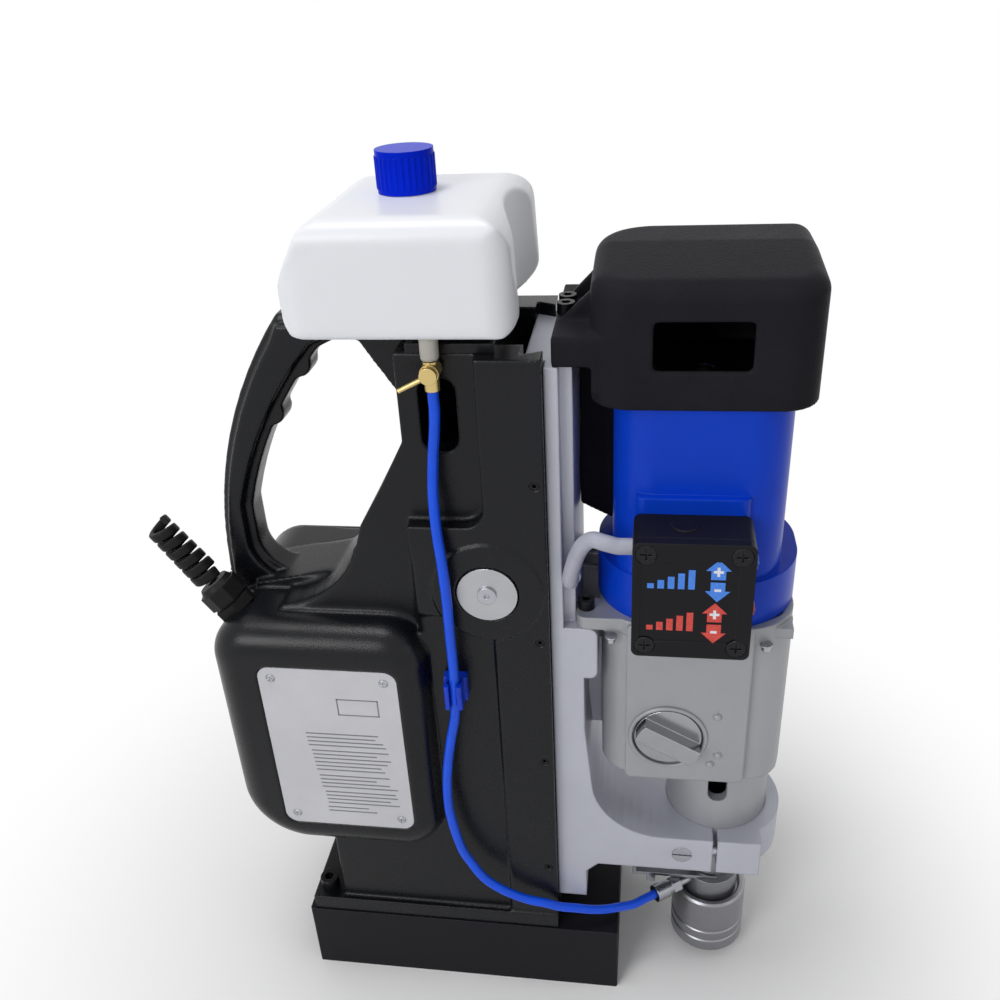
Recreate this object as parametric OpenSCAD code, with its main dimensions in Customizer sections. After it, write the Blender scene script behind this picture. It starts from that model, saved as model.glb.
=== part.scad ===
// Magnetic drill press: a magnet foot, a column with a carrying handle, and a motor on a feed slide.
// +X is the drilling side, -Y is the side with the name plate, +Z is up.
// The origin is the middle of the magnet foot's underside.

/* [Magnet foot] */
// Length of the magnet foot
foot_l = 220; // [210:1:260]
// Width of the magnet foot
foot_w = 110; // [106:1:130]
// Height of the magnet foot
foot_h = 57; // [50:1:70]

/* [Column and case] */
// Height of the column above the foot
column_h = 419; // [410:1:440]
// Length of the column from front to rear
column_l = 77.5; // [75:0.5:80]
// Width of the column
column_w = 105; // [104:1:112]
// Front face of the column, ahead of the foot's middle
column_front = 69; // [64:1:74]
// Length of the electrical case behind the column
case_l = 134; // [128:1:140]
// Height of the electrical case
case_h = 177; // [170:1:182]
// Underside of the case, above the foot
case_rise = 78; // [74:1:84]
// Reach of the case from the mid plane on the name plate side
case_near = 67; // [64:1:72]
// Reach of the case from the mid plane on the switch side
case_far = 56; // [54:1:58]
// Wall of the case
case_wall = 5; // [4:0.5:7]
// Thickness of the carrying handle
handle_t = 30; // [24:1:36]

/* [Feed] */
// Tooth module of the rack and its pinion
rack_module = 1.5; // [1.25:0.25:1.5]
// Teeth on the feed pinion
pinion_teeth = 22; // [20:1:24]
// Feed axis below the top of the column
feed_drop = 140; // [130:1:150]
// Diameter of the feed shaft
feed_shaft_d = 20; // [16:1:22]
// Reach of a feed arm from the shaft's axis
arm_reach = 165; // [140:1:175]
// Largest diameter of a feed grip
grip_d = 30; // [24:1:32]
// Angle of the first feed arm at rest
arm_angle = 5; // [0:1:119]

/* [Slide] */
// Width of the slide
slide_w = 90; // [86:1:94]
// Length of the slide
slide_l = 387; // [375:1:395]
// Lower end of the slide above the foot
slide_rise = 25; // [20:1:32]
// Thickness of the slide's edge strips
slide_t = 7.3; // [6:0.1:9]
// Depth of the dovetail
dovetail_d = 11; // [9:0.5:13]
// Width of the dovetail at the column's front face
dovetail_w = 68; // [60:1:70]
// Thickness of the gib strip
gib_t = 4; // [3:0.5:5]
// Upward travel of the slide
travel_up = 180; // [120:5:190]

/* [Spindle arm] */
// Spindle axis ahead of the column's front face
spindle_reach = 105; // [102:1:112]
// Height of the clamp arm
arm_h = 28; // [24:1:32]
// Underside of the arm above the slide's lower end
arm_rise = 32; // [28:1:36]
// Outer diameter of the clamp ring
ring_d = 84; // [80:1:88]
// Diameter of the gearbox neck
neck_d = 66; // [62:1:68]

/* [Gearbox and motor] */
// Length of the gearbox
gearbox_l = 110; // [108:1:114]
// Width of the gearbox
gearbox_w = 92; // [88:1:96]
// Height of the gearbox above its neck
gearbox_h = 108; // [104:1:114]
// Underside of the gearbox above the clamp arm
gearbox_rise = 58; // [54:1:62]
// Motor axis behind the spindle axis
motor_offset = 23; // [22:0.5:24]
// Length of the motor casing
motor_l = 94; // [90:1:98]
// Width of the motor casing
motor_w = 90; // [86:1:94]
// Height of the motor casing above its skirt
motor_h = 107; // [100:1:112]
// Length and width of the motor skirt
skirt_l = 114; // [110:1:118]
// Height of the motor skirt
skirt_h = 29; // [24:1:34]
// Length of the motor hood
hood_l = 115; // [112:1:122]
// Width of the motor hood
hood_w = 100; // [98:1:106]
// Height of the motor hood
hood_h = 70; // [66:1:76]

/* [Control box] */
// Width of the control box
panel_l = 62; // [56:1:66]
// Depth of the control box with its lid
panel_d = 30; // [26:1:34]
// Height of the control box
panel_h = 71; // [66:1:74]

/* [Arbor] */
// Diameter of the arbor
arbor_d = 38; // [36:0.5:40]
// Diameter of the tool bore
tool_bore_d = 19.05; // [18:0.05:20]
// Depth of the tool bore
tool_bore_l = 48; // [40:1:52]
// Diameter of the quick change sleeve
sleeve_d = 51.5; // [51:0.5:55]
// Height of the quick change sleeve
sleeve_h = 49; // [46:1:52]
// Lift of the sleeve that frees the tool
sleeve_lift = 4; // [3:0.5:6]

/* [Coolant] */
// Length of the coolant tank
tank_l = 120; // [112:1:126]
// Width of the coolant tank
tank_w = 126; // [118:1:130]
// Height of the coolant tank
tank_h = 59; // [54:1:64]
// Wall of the coolant tank
tank_wall = 2.5; // [2:0.25:3.5]
// Diameter of the filler cap
cap_d = 31; // [29:0.5:33]
// Height of the filler cap
cap_h = 21; // [18:0.5:24]
// Outer diameter of the coolant hose
hose_d = 6; // [5:0.5:7]

/* [Fits] */
// Radial room of a running fit
run_gap = 0.05; // [0.02:0.01:0.09]
// Room between seated pieces
seat_gap = 0.02; // [0.01:0.01:0.05]
// Room between pieces that pass each other
pass_gap = 0.4; // [0.3:0.05:0.6]

/* [Hidden] */
$fn = 64;
eps = 0.1;

function corners(x0, x1, z0, z1, in) = [for (x = [x0 + in, x1 - in], z = [z0 + in, z1 - in]) [x, z]];

// Column and foot
col_x1 = column_front;
col_x0 = col_x1 - column_l;
col_y = column_w / 2;
top_z = foot_h + column_h;
flange_t = 12;
flange_x0 = 4 - foot_l / 2;
lower_x0 = flange_x0 + 22;
cavity_y = 30;
cavity_x0 = col_x0 + 10;
cavity_z0 = foot_h + flange_t + 1;
recess_x1 = col_x1 - 34;
sunk_x1 = col_x1 - 32;
sunk_z1 = foot_h + 261;
sunk_d = 3;
recess_d = 10;
recess_z0 = top_z - 98;
slot_w = 20;
slot_l = 42;
slot_drop = 14;
foot_screw_d = 8;
foot_screw_spots = [[flange_x0 + 9, 42], [flange_x0 + 9, -42], [col_x1 - 18, 20], [col_x1 - 18, -20]];
coil_x0 = -72;
coil_x1 = 30;
coil_y = 32;
coil_h = 36;
coil_band = 15;

// Electrical case
case_x1 = col_x0 + 4.5;
case_x0 = case_x1 - case_l;
case_z0 = foot_h + case_rise;
case_z1 = case_z0 + case_h;
case_r = 26;
case_low_r = 44;
case_edge = 18;
case_radii = [case_low_r, case_r, case_r, case_r];
ridge_y = 20;
plate_t = 1.2;
plate_x0 = case_x0 + 31;
plate_x1 = case_x1 - 17;
plate_z0 = case_z0 + 23;
plate_z1 = case_z1 - 26;
plate_r = 8;
plate_screw_in = 8;
plate_corners = corners(plate_x0, plate_x1, plate_z0, plate_z1, plate_screw_in);
cover_t = 3;
board_t = 1.6;
board_post = 16;
board_in = 14;
board_corners = corners(case_x0, case_x1, case_z0, case_z1, board_in + 8);

// Handle: its outer and inner arcs stand on centres ahead of the column
grip_out_c = [case_x1 + 141, case_z1 + 5];
grip_out_r = 276;
grip_in_c = [case_x1 + 137, case_z1 - 19];
grip_in_r = 259;
grip_foot_c = [case_x1 - 88, case_z1 + 30];
grip_foot_r = 24;
grip_edge = 5;
grip_core = 9;
bridge_z0 = top_z - 5;
bridge_z1 = top_z + 10;
knuckle_r = 8;
knuckle_out = 4;
knuckles = [141.7, 149.6];

// Feed
pinion_r = rack_module * pinion_teeth / 2;
rack_seat = 6.8;
feed_x = col_x1 - dovetail_d - rack_seat - pinion_r;
feed_z = top_z - feed_drop;
rack_x = feed_x + pinion_r;
rack_w = 16;
rack_pitch = PI * rack_module;
bush_t = 4;
boss_r = 31.6;
boss_t = 1.5;
disc_r = 17.3;
disc_t = 2.6;
disc_y1 = 0.6 - col_y;
hub_y0 = col_y + 4;
hub_y1 = hub_y0 + 42;
hub_r = 27;
rod_d = 11;
arm_y = hub_y1 - 16;
arm_turns = [0, 120, 240];

// Slide
slide_x0 = col_x1 + pass_gap;
slide_y = slide_w / 2;
slide_x1 = slide_x0 + slide_t;
slide_z0 = foot_h + slide_rise;
slide_z1 = slide_z0 + slide_l;
spine_x1 = slide_x1 + 6.7;
spine_y = slide_y - 8;
web_x1 = slide_x1 + 11.5;
lug_x1 = slide_x1 + 19.5;
lug_w = 23;
rib_t = 12;
lug_h = 36;
mouth_y = dovetail_w / 2;
flare = 6;
gib_screw_spots = [top_z - 71, top_z - 174, top_z - 266, top_z - 361];
gib_screw_d = 5;
gib_screw_end = -mouth_y - gib_t - flare * (0.5 + gib_screw_d / 2 / dovetail_d);

// Arm, gearbox and motor
spindle_x = col_x1 + spindle_reach;
motor_x = spindle_x - motor_offset;
arm_z0 = slide_z0 + arm_rise;
arm_z1 = arm_z0 + arm_h;
pad_x1 = spindle_x + 27;
slit_x = spindle_x - 2;
slit_w = 3;
neck_r = neck_d / 2;
neck_z0 = arm_z0 - 2;
box_z0 = arm_z1 + gearbox_rise;
box_z1 = box_z0 + gearbox_h;
box_x = motor_x + 2;
box_x0 = box_x - gearbox_l / 2;
box_x1 = box_x + gearbox_l / 2;
box_y = gearbox_w / 2;
box_wall = 5;
flange_h = 8;
flange_z1 = box_z1 + flange_h;
lug_z1 = box_z1;
lug_screw_d = 6;
lug_screw_x = spine_x1 + 6;
lug_screw_y = slide_y - 11;
face_x0 = box_x0 + 15.5;
face_x1 = face_x0 + 71;
face_y = max(box_y, motor_w / 2 + 1) + 4;
knob_x = face_x0 + 25;
knob_z = box_z0 + 34;
knob_r = 20;
knob_t = 3;
dot_r = 2.6;
dots = [[28.4, 18], [30, -12], [25.8, -19.5]];
skirt_z1 = flange_z1 + skirt_h;
skirt_w = 2 * face_y;
motor_z1 = skirt_z1 + motor_h;
motor_wall = 4;
pad_z1 = skirt_z1 + 53;
hood_x0 = motor_x - motor_l / 2 - 11.5;
hood_x1 = hood_x0 + hood_l;
hood_z0 = motor_z1 - 4;
hood_z1 = hood_z0 + hood_h;
hood_wall = 4;
hood_radii = [20, 20, 32, 11];
hood_ease = 10;
hood_y = hood_w / 2;
window_x0 = motor_x - 27;
window_l = 48;
window_z0 = hood_z0 + 21;
window_h = 26;
strap_x0 = slide_x0 + 4;
strap_h = 16;
duct_gap = 0.6;
duct_x1 = motor_x - motor_l / 2 - duct_gap;
duct_y0 = 6;
hood_screw_x = slide_x0 + 9;
hood_screw_y = 6.5;
hood_screw_d = 6;

// Gear train: the motor pinion drives a layshaft, and the layshaft drives the spindle
first_module = 1;
first_teeth = [12, 28];
second_module = 1.25;
second_teeth = [14, 26];
first_c = first_module * (first_teeth[0] + first_teeth[1]) / 2;
second_c = second_module * (second_teeth[0] + second_teeth[1]) / 2;
lay_dx = (motor_offset * motor_offset + first_c * first_c - second_c * second_c) / (2 * motor_offset);
lay_x = motor_x + lay_dx;
lay_y = sqrt(first_c * first_c - lay_dx * lay_dx);
first_z = box_z1 - 18;
second_z = box_z1 - 46;
gear_h = 14;
first_dir = atan2(lay_y, lay_dx);
second_dir = atan2(-lay_y, spindle_x - lay_x);
lay_shaft_r = 5;
motor_shaft_r = 5;
spindle_r = 12;
bearing_h = 9;
spindle_bearing_r = 26;
lay_bearing_r = 9;
floor_t = 9;
lay_bearing_z = box_z0 + 3;
stator_r = 38;
stator_h = 58;
stator_z0 = skirt_z1 + 14;
stator_rib_w = 16;
core_r = 24;
core_h = 50;
core_gap = 0.8;

// Control box
panel_x = motor_x - 4;
panel_x0 = panel_x - panel_l / 2;
panel_x1 = panel_x + panel_l / 2;
panel_y1 = -face_y - seat_gap;
panel_y0 = panel_y1 - panel_d;
panel_z0 = flange_z1 + 2;
panel_z1 = panel_z0 + panel_h;
lid_t = 6;
lid_y1 = panel_y0 + lid_t;
panel_wall = 3;
lid_corners = corners(panel_x0, panel_x1, panel_z0, panel_z1, 7);
lid_screw_r = 5.2;
wheel_r = 8;
wheel_t = 5;
wheel_pin_r = 1.5;
wheel_y = panel_y1 - 14;
wheel_x = panel_x1 - wheel_r + 3;
wheel_spots = [panel_z1 - 19, panel_z1 - 48];
lead_d = 9;

// Arbor
arbor_r = arbor_d / 2;
sleeve_r = sleeve_d / 2;
sleeve_z0 = slide_z0 - 74;
sleeve_z1 = sleeve_z0 + sleeve_h;
arbor_z0 = sleeve_z0 + 1;
arbor_z1 = neck_z0 - 1;
chamber_r = arbor_r + 4.6;
sleeve_top = 5;
collar_z1 = sleeve_z1 - sleeve_top - seat_gap;
collar_z0 = collar_z1 - 5;
sleeve_ring_h = 8;
spring_wire = 1.8;
coolant_r = arbor_r + 0.4;
coolant_z0 = sleeve_z1 + sleeve_lift + pass_gap;
nipple_z = sleeve_z1 + sleeve_lift + 5.7;
coolant_z1 = nipple_z + 6;
shoulder_z = coolant_z0 - run_gap;
arbor_neck_r = 14;
lip_r = coolant_r + 1.5;
bracket_x0 = spindle_x - 55;

// Coolant tank
saddle_h = 13;
tank_z0 = top_z + saddle_h;
tank_z1 = tank_z0 + tank_h;
tank_x1 = col_x1 - 10;
tank_x0 = tank_x1 - tank_l;
tank_y = tank_w / 2;
tank_edge = 24;
tank_near_edge = 11;
tank_low_edge = 5;
tank_corner = 16;
notch_r = 102;
notch_x = rack_x - 2.7 + notch_r;
filler_x = tank_x1 - 61.5;
filler_r = 12;
filler_h = 14;
outlet_x = 13;
outlet_y = 2.5 - col_y;
outlet_z = tank_z0 - 14;
valve_z = outlet_z - 5.5;
valve_r = 5;
valve_low = valve_z - 10.5;
lever_l = 18;
lever_tilt = 27;

// Coolant nipple, straight out of the ring round the arbor to the end of the hose
nipple_turn = 214.7;
nipple_l = 47.4;
function nipple_at(reach) = [
  spindle_x + reach * cos(nipple_turn), reach * sin(nipple_turn), nipple_z
];

// Hose route: from under the valve, through the clip, and round to the arbor's coolant ring
hose_path = [
  [outlet_x, outlet_y, valve_low - seat_gap], [outlet_x, outlet_y, valve_low - 6],
  [outlet_x, outlet_y, valve_low - 12], [12, -50, 436], [10, -51, 419], [9, -54, 400], [10, -58, 380],
  [12, -61, 360], [13, -62, 337],
  [13, -62, 313], [13, -61, 287], [12, -60, 268], [11, -60, 250], [7, -61, 230],
  [3, -62, 203], [2, -62, 173], [7, -62, 141], [13, -62, 126], [21, -62, 112], [31, -62, 103],
  [41, -61, 96], [51, -60, 91], [61, -59, 88], [71, -57, 83], [81, -54, 79], [91, -51, 75],
  [101, -47, 71], [111, -41.7, 67.5],
  nipple_at(nipple_l + 18), nipple_at(nipple_l + 9), nipple_at(nipple_l + seat_gap)
];
hose_curve = smooth(hose_path, 2);
clip_x = 12;
clip_y = -60;
clip_z = 268;
clip_h = 17;
clip_jaw = 2.4;

// Control lead route: from the control box's side round into the slide
lead_z = panel_z1 - 12;
lead_end = [81.5, -spine_y - 4.5, 342];
lead_path = [
  [panel_x0 - seat_gap, wheel_y, lead_z], [panel_x0 - 4, wheel_y, lead_z],
  [panel_x0 - 8, wheel_y, lead_z], [101, -63.5, 378.5],
  [95, -61.5, 379], [90.5, -59, 375], [87, -56, 368], [84.5, -53.5, 360], [82.5, -51.5, 352],
  lead_end + [0, -9, 4], lead_end + [0, -5, 0], lead_end + [0, -2.5, 0], lead_end + [0, -seat_gap, 0]
];
lead_curve = smooth(lead_path, 3);

// Cable gland, square to the case's rounded rear corner
gland_x = case_x0 + case_r;
gland_y = -34;
gland_z = case_z1 - case_r;
gland_tilt = 35;
gland_seat = case_r - 2;
collar_h = 7;
nut_h = 16;
nut_r = 13;
guard_wire = 4.6;
guard_tip_wire = 3.8;
guard_turns = 6;
guard_pitch = 7.2;
guard_r0 = 7;
guard_r1 = 6.3;
guard_base = gland_seat + collar_h + nut_h;

// Switches on the far side
switch_y = case_far + cover_t;
start_spot = [case_x0 + 84, case_z1 - 45];
stop_spot = [case_x0 + 54, case_z1 - 45];
rocker_spot = [case_x0 + 69, case_z0 + 62];
button_r = 9;
button_out = 5;
rocker_tilt = 6;
rocker_y = switch_y - 6;

// Shared shapes

module block(x0, x1, y0, y1, z0, z1) {
  translate([x0, y0, z0])
    cube([x1 - x0, y1 - y0, z1 - z0]);
}

module rod_x(r, x0, x1, y, z) {
  translate([x0, y, z])
    rotate([0, 90, 0])
      cylinder(r = r, h = x1 - x0);
}

module rod_y(r, y0, y1, x, z) {
  translate([x, y0, z])
    rotate([-90, 0, 0])
      cylinder(r = r, h = y1 - y0);
}

module rod_z(r, z0, z1, x, y) {
  translate([x, y, z0])
    cylinder(r = r, h = z1 - z0);
}

// Block with its upright edges rounded
module slab(x0, x1, y0, y1, z0, z1, r) {
  block(x0 + r, x1 - r, y0, y1, z0, z1);
  block(x0, x1, y0 + r, y1 - r, z0, z1);
  for (x = [x0 + r, x1 - r], y = [y0 + r, y1 - r])
    rod_z(r, z0, z1, x, y);
}

// Block with the edges along Y rounded
module plate(x0, x1, y0, y1, z0, z1, r) {
  block(x0 + r, x1 - r, y0, y1, z0, z1);
  block(x0, x1, y0, y1, z0 + r, z1 - r);
  for (x = [x0 + r, x1 - r], z = [z0 + r, z1 - r])
    rod_y(r, y0, y1, x, z);
}

// One corner of a block whose edges round the face at y = 0 are rounded by e
module soft_corner(w, d, h, r, e) {
  translate([r, 0, 0])
    rotate([90, 0, 90])
      linear_extrude(w - r)
        soft_section(d, h, e);
  translate([0, 0, r])
    linear_extrude(h - r)
      soft_section(w, d, e);
  translate([r, 0, r])
    rotate([-90, 0, 0])
      rotate_extrude()
        intersection() {
          translate([-r, 0])
            soft_section(2 * r, d, e, true);
          square([r, d]);
        }
}

module soft_section(a, b, e, both = false) {
  translate([e, 0])
    square([a - (both ? 2 : 1) * e, b]);
  translate([0, e])
    square([a, b - e]);
  for (x = both ? [e, a - e] : [e])
    translate([x, e])
      circle(e);
}

// Block with the four edges of its face at y = 0 rounded, and the edges along Y rounded by radii
module soft_block(l, d, h, radii, e) {
  soft_corner(l / 2, d, h / 2, radii[0], e);
  translate([l, 0, 0])
    mirror([1, 0, 0])
      soft_corner(l / 2, d, h / 2, radii[1], e);
  translate([0, 0, h])
    mirror([0, 0, 1])
      soft_corner(l / 2, d, h / 2, radii[2], e);
  translate([l, 0, h])
    rotate([0, 180, 0])
      soft_corner(l / 2, d, h / 2, radii[3], e);
}

// Side outline in X and Z, drawn out along Y
module side_form(outline, y0, y1) {
  translate([0, y1, 0])
    rotate([90, 0, 0])
      linear_extrude(y1 - y0)
        polygon(outline);
}

function arc(c, r, a0, a1, n) = [
  for (i = [0:n])
    let (a = a0 + (a1 - a0) * i / n)
      c + r * [cos(a), sin(a)]
];

// Socket head screw, its seat at the origin and its head along +Z
module socket_screw(d, l) {
  difference() {
    union() {
      cylinder(r = 0.8 * d, h = d);
      translate([0, 0, -l])
        cylinder(r = d / 2, h = l + eps);
    }
    translate([0, 0, d / 2])
      cylinder(r = 0.45 * d, h = d, $fn = 6);
  }
}

// Countersunk cross head screw, its top at the origin and its shank along -Z
module cross_screw(head_r, l, stem_r) {
  head_h = 0.55 * head_r;
  difference() {
    union() {
      translate([0, 0, -head_h])
        cylinder(r1 = 0.55 * head_r, r2 = head_r, h = head_h);
      translate([0, 0, -l])
        cylinder(r = stem_r, h = l - head_h + eps);
    }
    for (turn = [0, 90])
      rotate(turn)
        block(-0.6 * head_r, 0.6 * head_r, -0.11 * head_r, 0.11 * head_r, -0.3 * head_r, eps);
  }
}

// Involute gear: half the angle that a tooth spans at radius r
function involute(r, base) = let (a = acos(min(1, base / r))) tan(a) * 180 / PI - a;
function tooth_half(r, pitch_r, teeth, gap) =
  let (base = pitch_r * cos(20))
  90 / teeth - gap / pitch_r * 90 / PI + involute(pitch_r, base) - involute(max(r, base), base);

gear_gap = 0.16;
tip_share = 0.85;
root_share = 1.2;
flank_steps = 4;

module gear(module_mm, teeth, h, first_tooth) {
  pitch_r = module_mm * teeth / 2;
  tip_r = pitch_r + tip_share * module_mm;
  root_r = pitch_r - root_share * module_mm;
  low_r = max(root_r, pitch_r * cos(20));
  up = [for (i = [0:flank_steps]) low_r + (tip_r - low_r) * i / flank_steps];
  radii = concat([root_r], up);
  outline = [
    for (k = [0:teeth - 1])
      for (side = [-1, 1])
        for (i = [0:len(radii) - 1])
          let (r = radii[side < 0 ? i : len(radii) - 1 - i])
          let (a = first_tooth + 360 * k / teeth + side * tooth_half(r, pitch_r, teeth, gear_gap))
          r * [cos(a), sin(a)]
  ];
  linear_extrude(h)
    polygon(outline);
}

// Swept tube: a ring of points round each point of the path
function unit(v) = v / norm(v);
function headings(p) = [for (i = [0:len(p) - 1]) unit(p[min(i + 1, len(p) - 1)] - p[max(i - 1, 0)])];
function square_to(n, t) = unit(n - (n * t) * t);
function carried(t, n, i = 0, done = []) =
  i == len(t) ? done : carried(t, n, i + 1, concat(done, [square_to(i == 0 ? n : done[i - 1], t[i])]));

module tube(path, radii, sides, first_side) {
  t = headings(path);
  n = carried(t, first_side);
  last = (len(path) - 1) * sides;
  points = [
    for (i = [0:len(path) - 1])
      for (k = [0:sides - 1])
        path[i] + radii[i] * (cos(360 * k / sides) * n[i] + sin(360 * k / sides) * cross(t[i], n[i]))
  ];
  walls = [
    for (i = [0:len(path) - 2])
      for (k = [0:sides - 1])
        let (a = i * sides + k, b = i * sides + (k + 1) % sides)
        for (face = [[a, a + sides, b + sides], [a, b + sides, b]])
          face
  ];
  ends = [
    for (k = [1:sides - 2])
      for (face = [[0, k, k + 1], [last, last + k + 1, last + k]])
        face
  ];
  polyhedron(points, concat(walls, ends));
}

function same(path, r) = [for (p = path) r];

// Smooth curve through the points of a route
function bend(a, b, c, d, u) =
  0.5 * (2 * b + (c - a) * u + (2 * a - 5 * b + 4 * c - d) * u * u + (3 * b - a - 3 * c + d) * u * u * u);
function smooth(p, steps) = concat(
  [
    for (i = [0:len(p) - 2])
      for (s = [0:steps - 1])
        bend(p[max(i - 1, 0)], p[i], p[i + 1], p[min(i + 2, len(p) - 1)], s / steps)
  ],
  [p[len(p) - 1]]
);

// Foot

module foot_ring(room, h) {
  difference() {
    slab(coil_x0 - room, coil_x1 + room, -coil_y - room, coil_y + room, foot_h - h, foot_h, 18 + room);
    slab(coil_x0 + coil_band + room, coil_x1 - coil_band - room, -coil_y + coil_band + room,
      coil_y - coil_band - room, foot_h - h - eps, foot_h + eps, 5);
  }
}

module magnet_foot() {
  color("#1c1d20")
    difference() {
      slab(-foot_l / 2, foot_l / 2, -foot_w / 2, foot_w / 2, 0, foot_h, 1.5);
      translate([0, 0, eps])
        foot_ring(1, coil_h + 1);
      for (spot = foot_screw_spots)
        rod_z(foot_screw_d / 2 + seat_gap, foot_h - 24, foot_h + eps, spot[0], spot[1]);
    }
}

module magnet_coil() {
  color("#a5602c")
    foot_ring(0, coil_h);
}

module foot_screws() {
  color("#26272a")
    for (spot = foot_screw_spots)
      translate([spot[0], spot[1], foot_h + flange_t + (spot[0] > 0 ? 1 : 0)])
        socket_screw(foot_screw_d, 30);
}

// Frame

// Handle outline, drawn in by inset on its rounded sides
function handle_outline(inset) = concat(
  [[case_x0 + 40, case_z1 - 20], [case_x0 + 8, case_z1 - 20]],
  arc(grip_out_c, grip_out_r - inset, 180, 145, 12),
  [[case_x1 - 77, bridge_z1 - inset], [col_x0 + 6, bridge_z1 - inset]],
  [[col_x0 + 6, top_z - 50], [col_x0, top_z - 44], [case_x1 - 32, bridge_z0 - 1 + inset]],
  [[case_x1 - 43, bridge_z0 + 1 + inset]],
  arc(grip_in_c, grip_in_r + inset, 138, 164, 8),
  arc(grip_foot_c, grip_foot_r + inset, 180, 255, 7)
);

module knuckle_rods(y) {
  for (turn = knuckles)
    let (spot = grip_in_c + (grip_in_r - knuckle_out + knuckle_r) * [cos(turn), sin(turn)])
    rod_y(knuckle_r, -y, y, spot[0], spot[1]);
}

gusset_outline = [
  [col_x0 + 6, top_z - 50], [col_x0, top_z - 51], [case_x1 - 20, top_z - 80], [case_x1 - 34, top_z - 104],
  [case_x1 - 38, top_z - 117], [case_x1 - 54, case_z1 - 12], [col_x0 + 6, case_z1 - 12]
];
// Fillet in which the near side of the gusset runs out on the case
gusset_c = [case_x1 - 96, case_z1 + 60];
gusset_r = 58;
fillet_outline = concat(
  [[case_x1 - 38, top_z - 117]],
  arc(gusset_c, gusset_r, -16, -84, 8),
  [[case_x1 - 97, case_z1 - 12], [case_x1 - 30, case_z1 - 12]]
);
ridge_outline = [
  [case_x0 + 14, case_z1 - 20], [case_x0 + 20, case_z1 + 3], [case_x0 + 34, case_z1 + 6],
  [case_x1 - 54, case_z1 + 16],
  [col_x0 + 6, case_z1 + 16], [col_x0 + 6, case_z1 - 20]
];

// The dovetail in plan: how far inside the column a face lies, and the room it is given
function dovetail(near, far, x0, x1) = [
  [x1, -mouth_y - near], [x0, -mouth_y - flare - near], [x0, mouth_y + flare + far], [x1, mouth_y + far]
];

module case_body(room) {
  open_side = room > 0 ? eps : 0;
  translate([case_x0 + room, -case_near + room, case_z0 + room])
    soft_block(case_x1 - case_x0 - 2 * room, case_near + case_far - room + open_side, case_h - 2 * room,
               case_radii - [room, room, room, room], case_edge - room);
}

module frame_casting() {
  color("#2d2e32")
    difference() {
      union() {
        block(flange_x0, col_x1, 1 - foot_w / 2, foot_w / 2 - 1, foot_h, foot_h + flange_t);
        difference() {
          union() {
            block(lower_x0, col_x1, -col_y, col_y, foot_h, case_z0 + case_low_r);
            block(col_x0, col_x1, -col_y, col_y, foot_h, top_z);
          }
          plate(lower_x0 - 20, sunk_x1, -col_y - eps, sunk_d - col_y, foot_h + flange_t - 8, sunk_z1, 14);
        }
        case_body(0);
        side_form(ridge_outline, -ridge_y, ridge_y);
        side_form(gusset_outline, -col_y + recess_d, col_y - recess_d);
        side_form(fillet_outline, -col_y + recess_d, ridge_y);
        side_form(handle_outline(0), -grip_core, grip_core);
        side_form(handle_outline(grip_edge), -handle_t / 2, handle_t / 2);
        knuckle_rods(grip_core);
        rod_y(boss_r, -col_y - boss_t, sunk_d - col_y, feed_x, feed_z);
      }
      // Case hollow, open on the switch side
      difference() {
        case_body(case_wall);
        for (spot = board_corners)
          rod_y(4, -case_near, -case_near + case_wall + board_post, spot[0], spot[1]);
        cover_spots()
          translate([0, 0, -cover_t - 16])
            cylinder(r = 5, h = 16);
      }
      cover_spots()
        translate([0, 0, -cover_t - 13])
          cylinder(r = 2 + seat_gap, h = 14);
      // Column hollow and dovetail
      block(cavity_x0, col_x1 - dovetail_d + eps, -cavity_y, cavity_y, cavity_z0, top_z + eps);
      translate([0, 0, foot_h + flange_t])
        linear_extrude(column_h)
          polygon(dovetail(gib_t, 0, col_x1 - dovetail_d, col_x1 + eps));
      // Recess with its slot beside the tank's valve
      block(col_x0 - eps, recess_x1 - 12, -col_y - eps, recess_d - col_y, recess_z0, top_z + eps);
      block(col_x0 - eps, recess_x1, -col_y - eps, recess_d - col_y, recess_z0 + 12, top_z + eps);
      rod_y(12, -col_y - eps, recess_d - col_y, recess_x1 - 12, recess_z0 + 12);
      plate(outlet_x - slot_w / 2, outlet_x + slot_w / 2, -col_y, -cavity_y + eps,
        top_z - slot_drop - slot_l, top_z - slot_drop, 8);
      // Feed shaft bores
      for (side = [-1, 1])
        rod_y(feed_shaft_d / 2 + bush_t + seat_gap, side < 0 ? -col_y - boss_t - eps : cavity_y - eps,
          side < 0 ? -cavity_y + eps : col_y + eps, feed_x, feed_z);
      rod_y(disc_r + 0.7, -col_y - boss_t - eps, disc_y1 + pass_gap, feed_x, feed_z);
      // Name plate seat and its screw holes
      plate(plate_x0 - 0.5, plate_x1 + 0.5, -case_near - eps, -case_near + plate_t + 0.6, plate_z0 - 0.5,
        plate_z1 + 0.5, plate_r);
      for (spot = plate_corners)
        rod_y(1.5 + seat_gap, -case_near, -case_near + case_wall + eps, spot[0], spot[1]);
      // Gib screw, foot screw and cover screw holes
      for (z = gib_screw_spots)
        rod_y(gib_screw_d / 2 + seat_gap, -col_y - eps, -mouth_y - gib_t, col_x1 - dovetail_d / 2, z);
      for (spot = foot_screw_spots)
        rod_z(foot_screw_d / 2 + 0.3, foot_h - eps, foot_h + 20, spot[0], spot[1]);
      // Gland hole
      translate([gland_x, gland_y, gland_z])
        rotate([0, -gland_tilt, 0])
          cylinder(r = 8 + seat_gap, h = case_r + 4);
      translate([gland_x, gland_y, gland_z])
        rotate([0, -gland_tilt, 0])
          translate([0, 0, gland_seat])
            cylinder(r = nut_r + 1, h = 40);
    }
}

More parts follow.
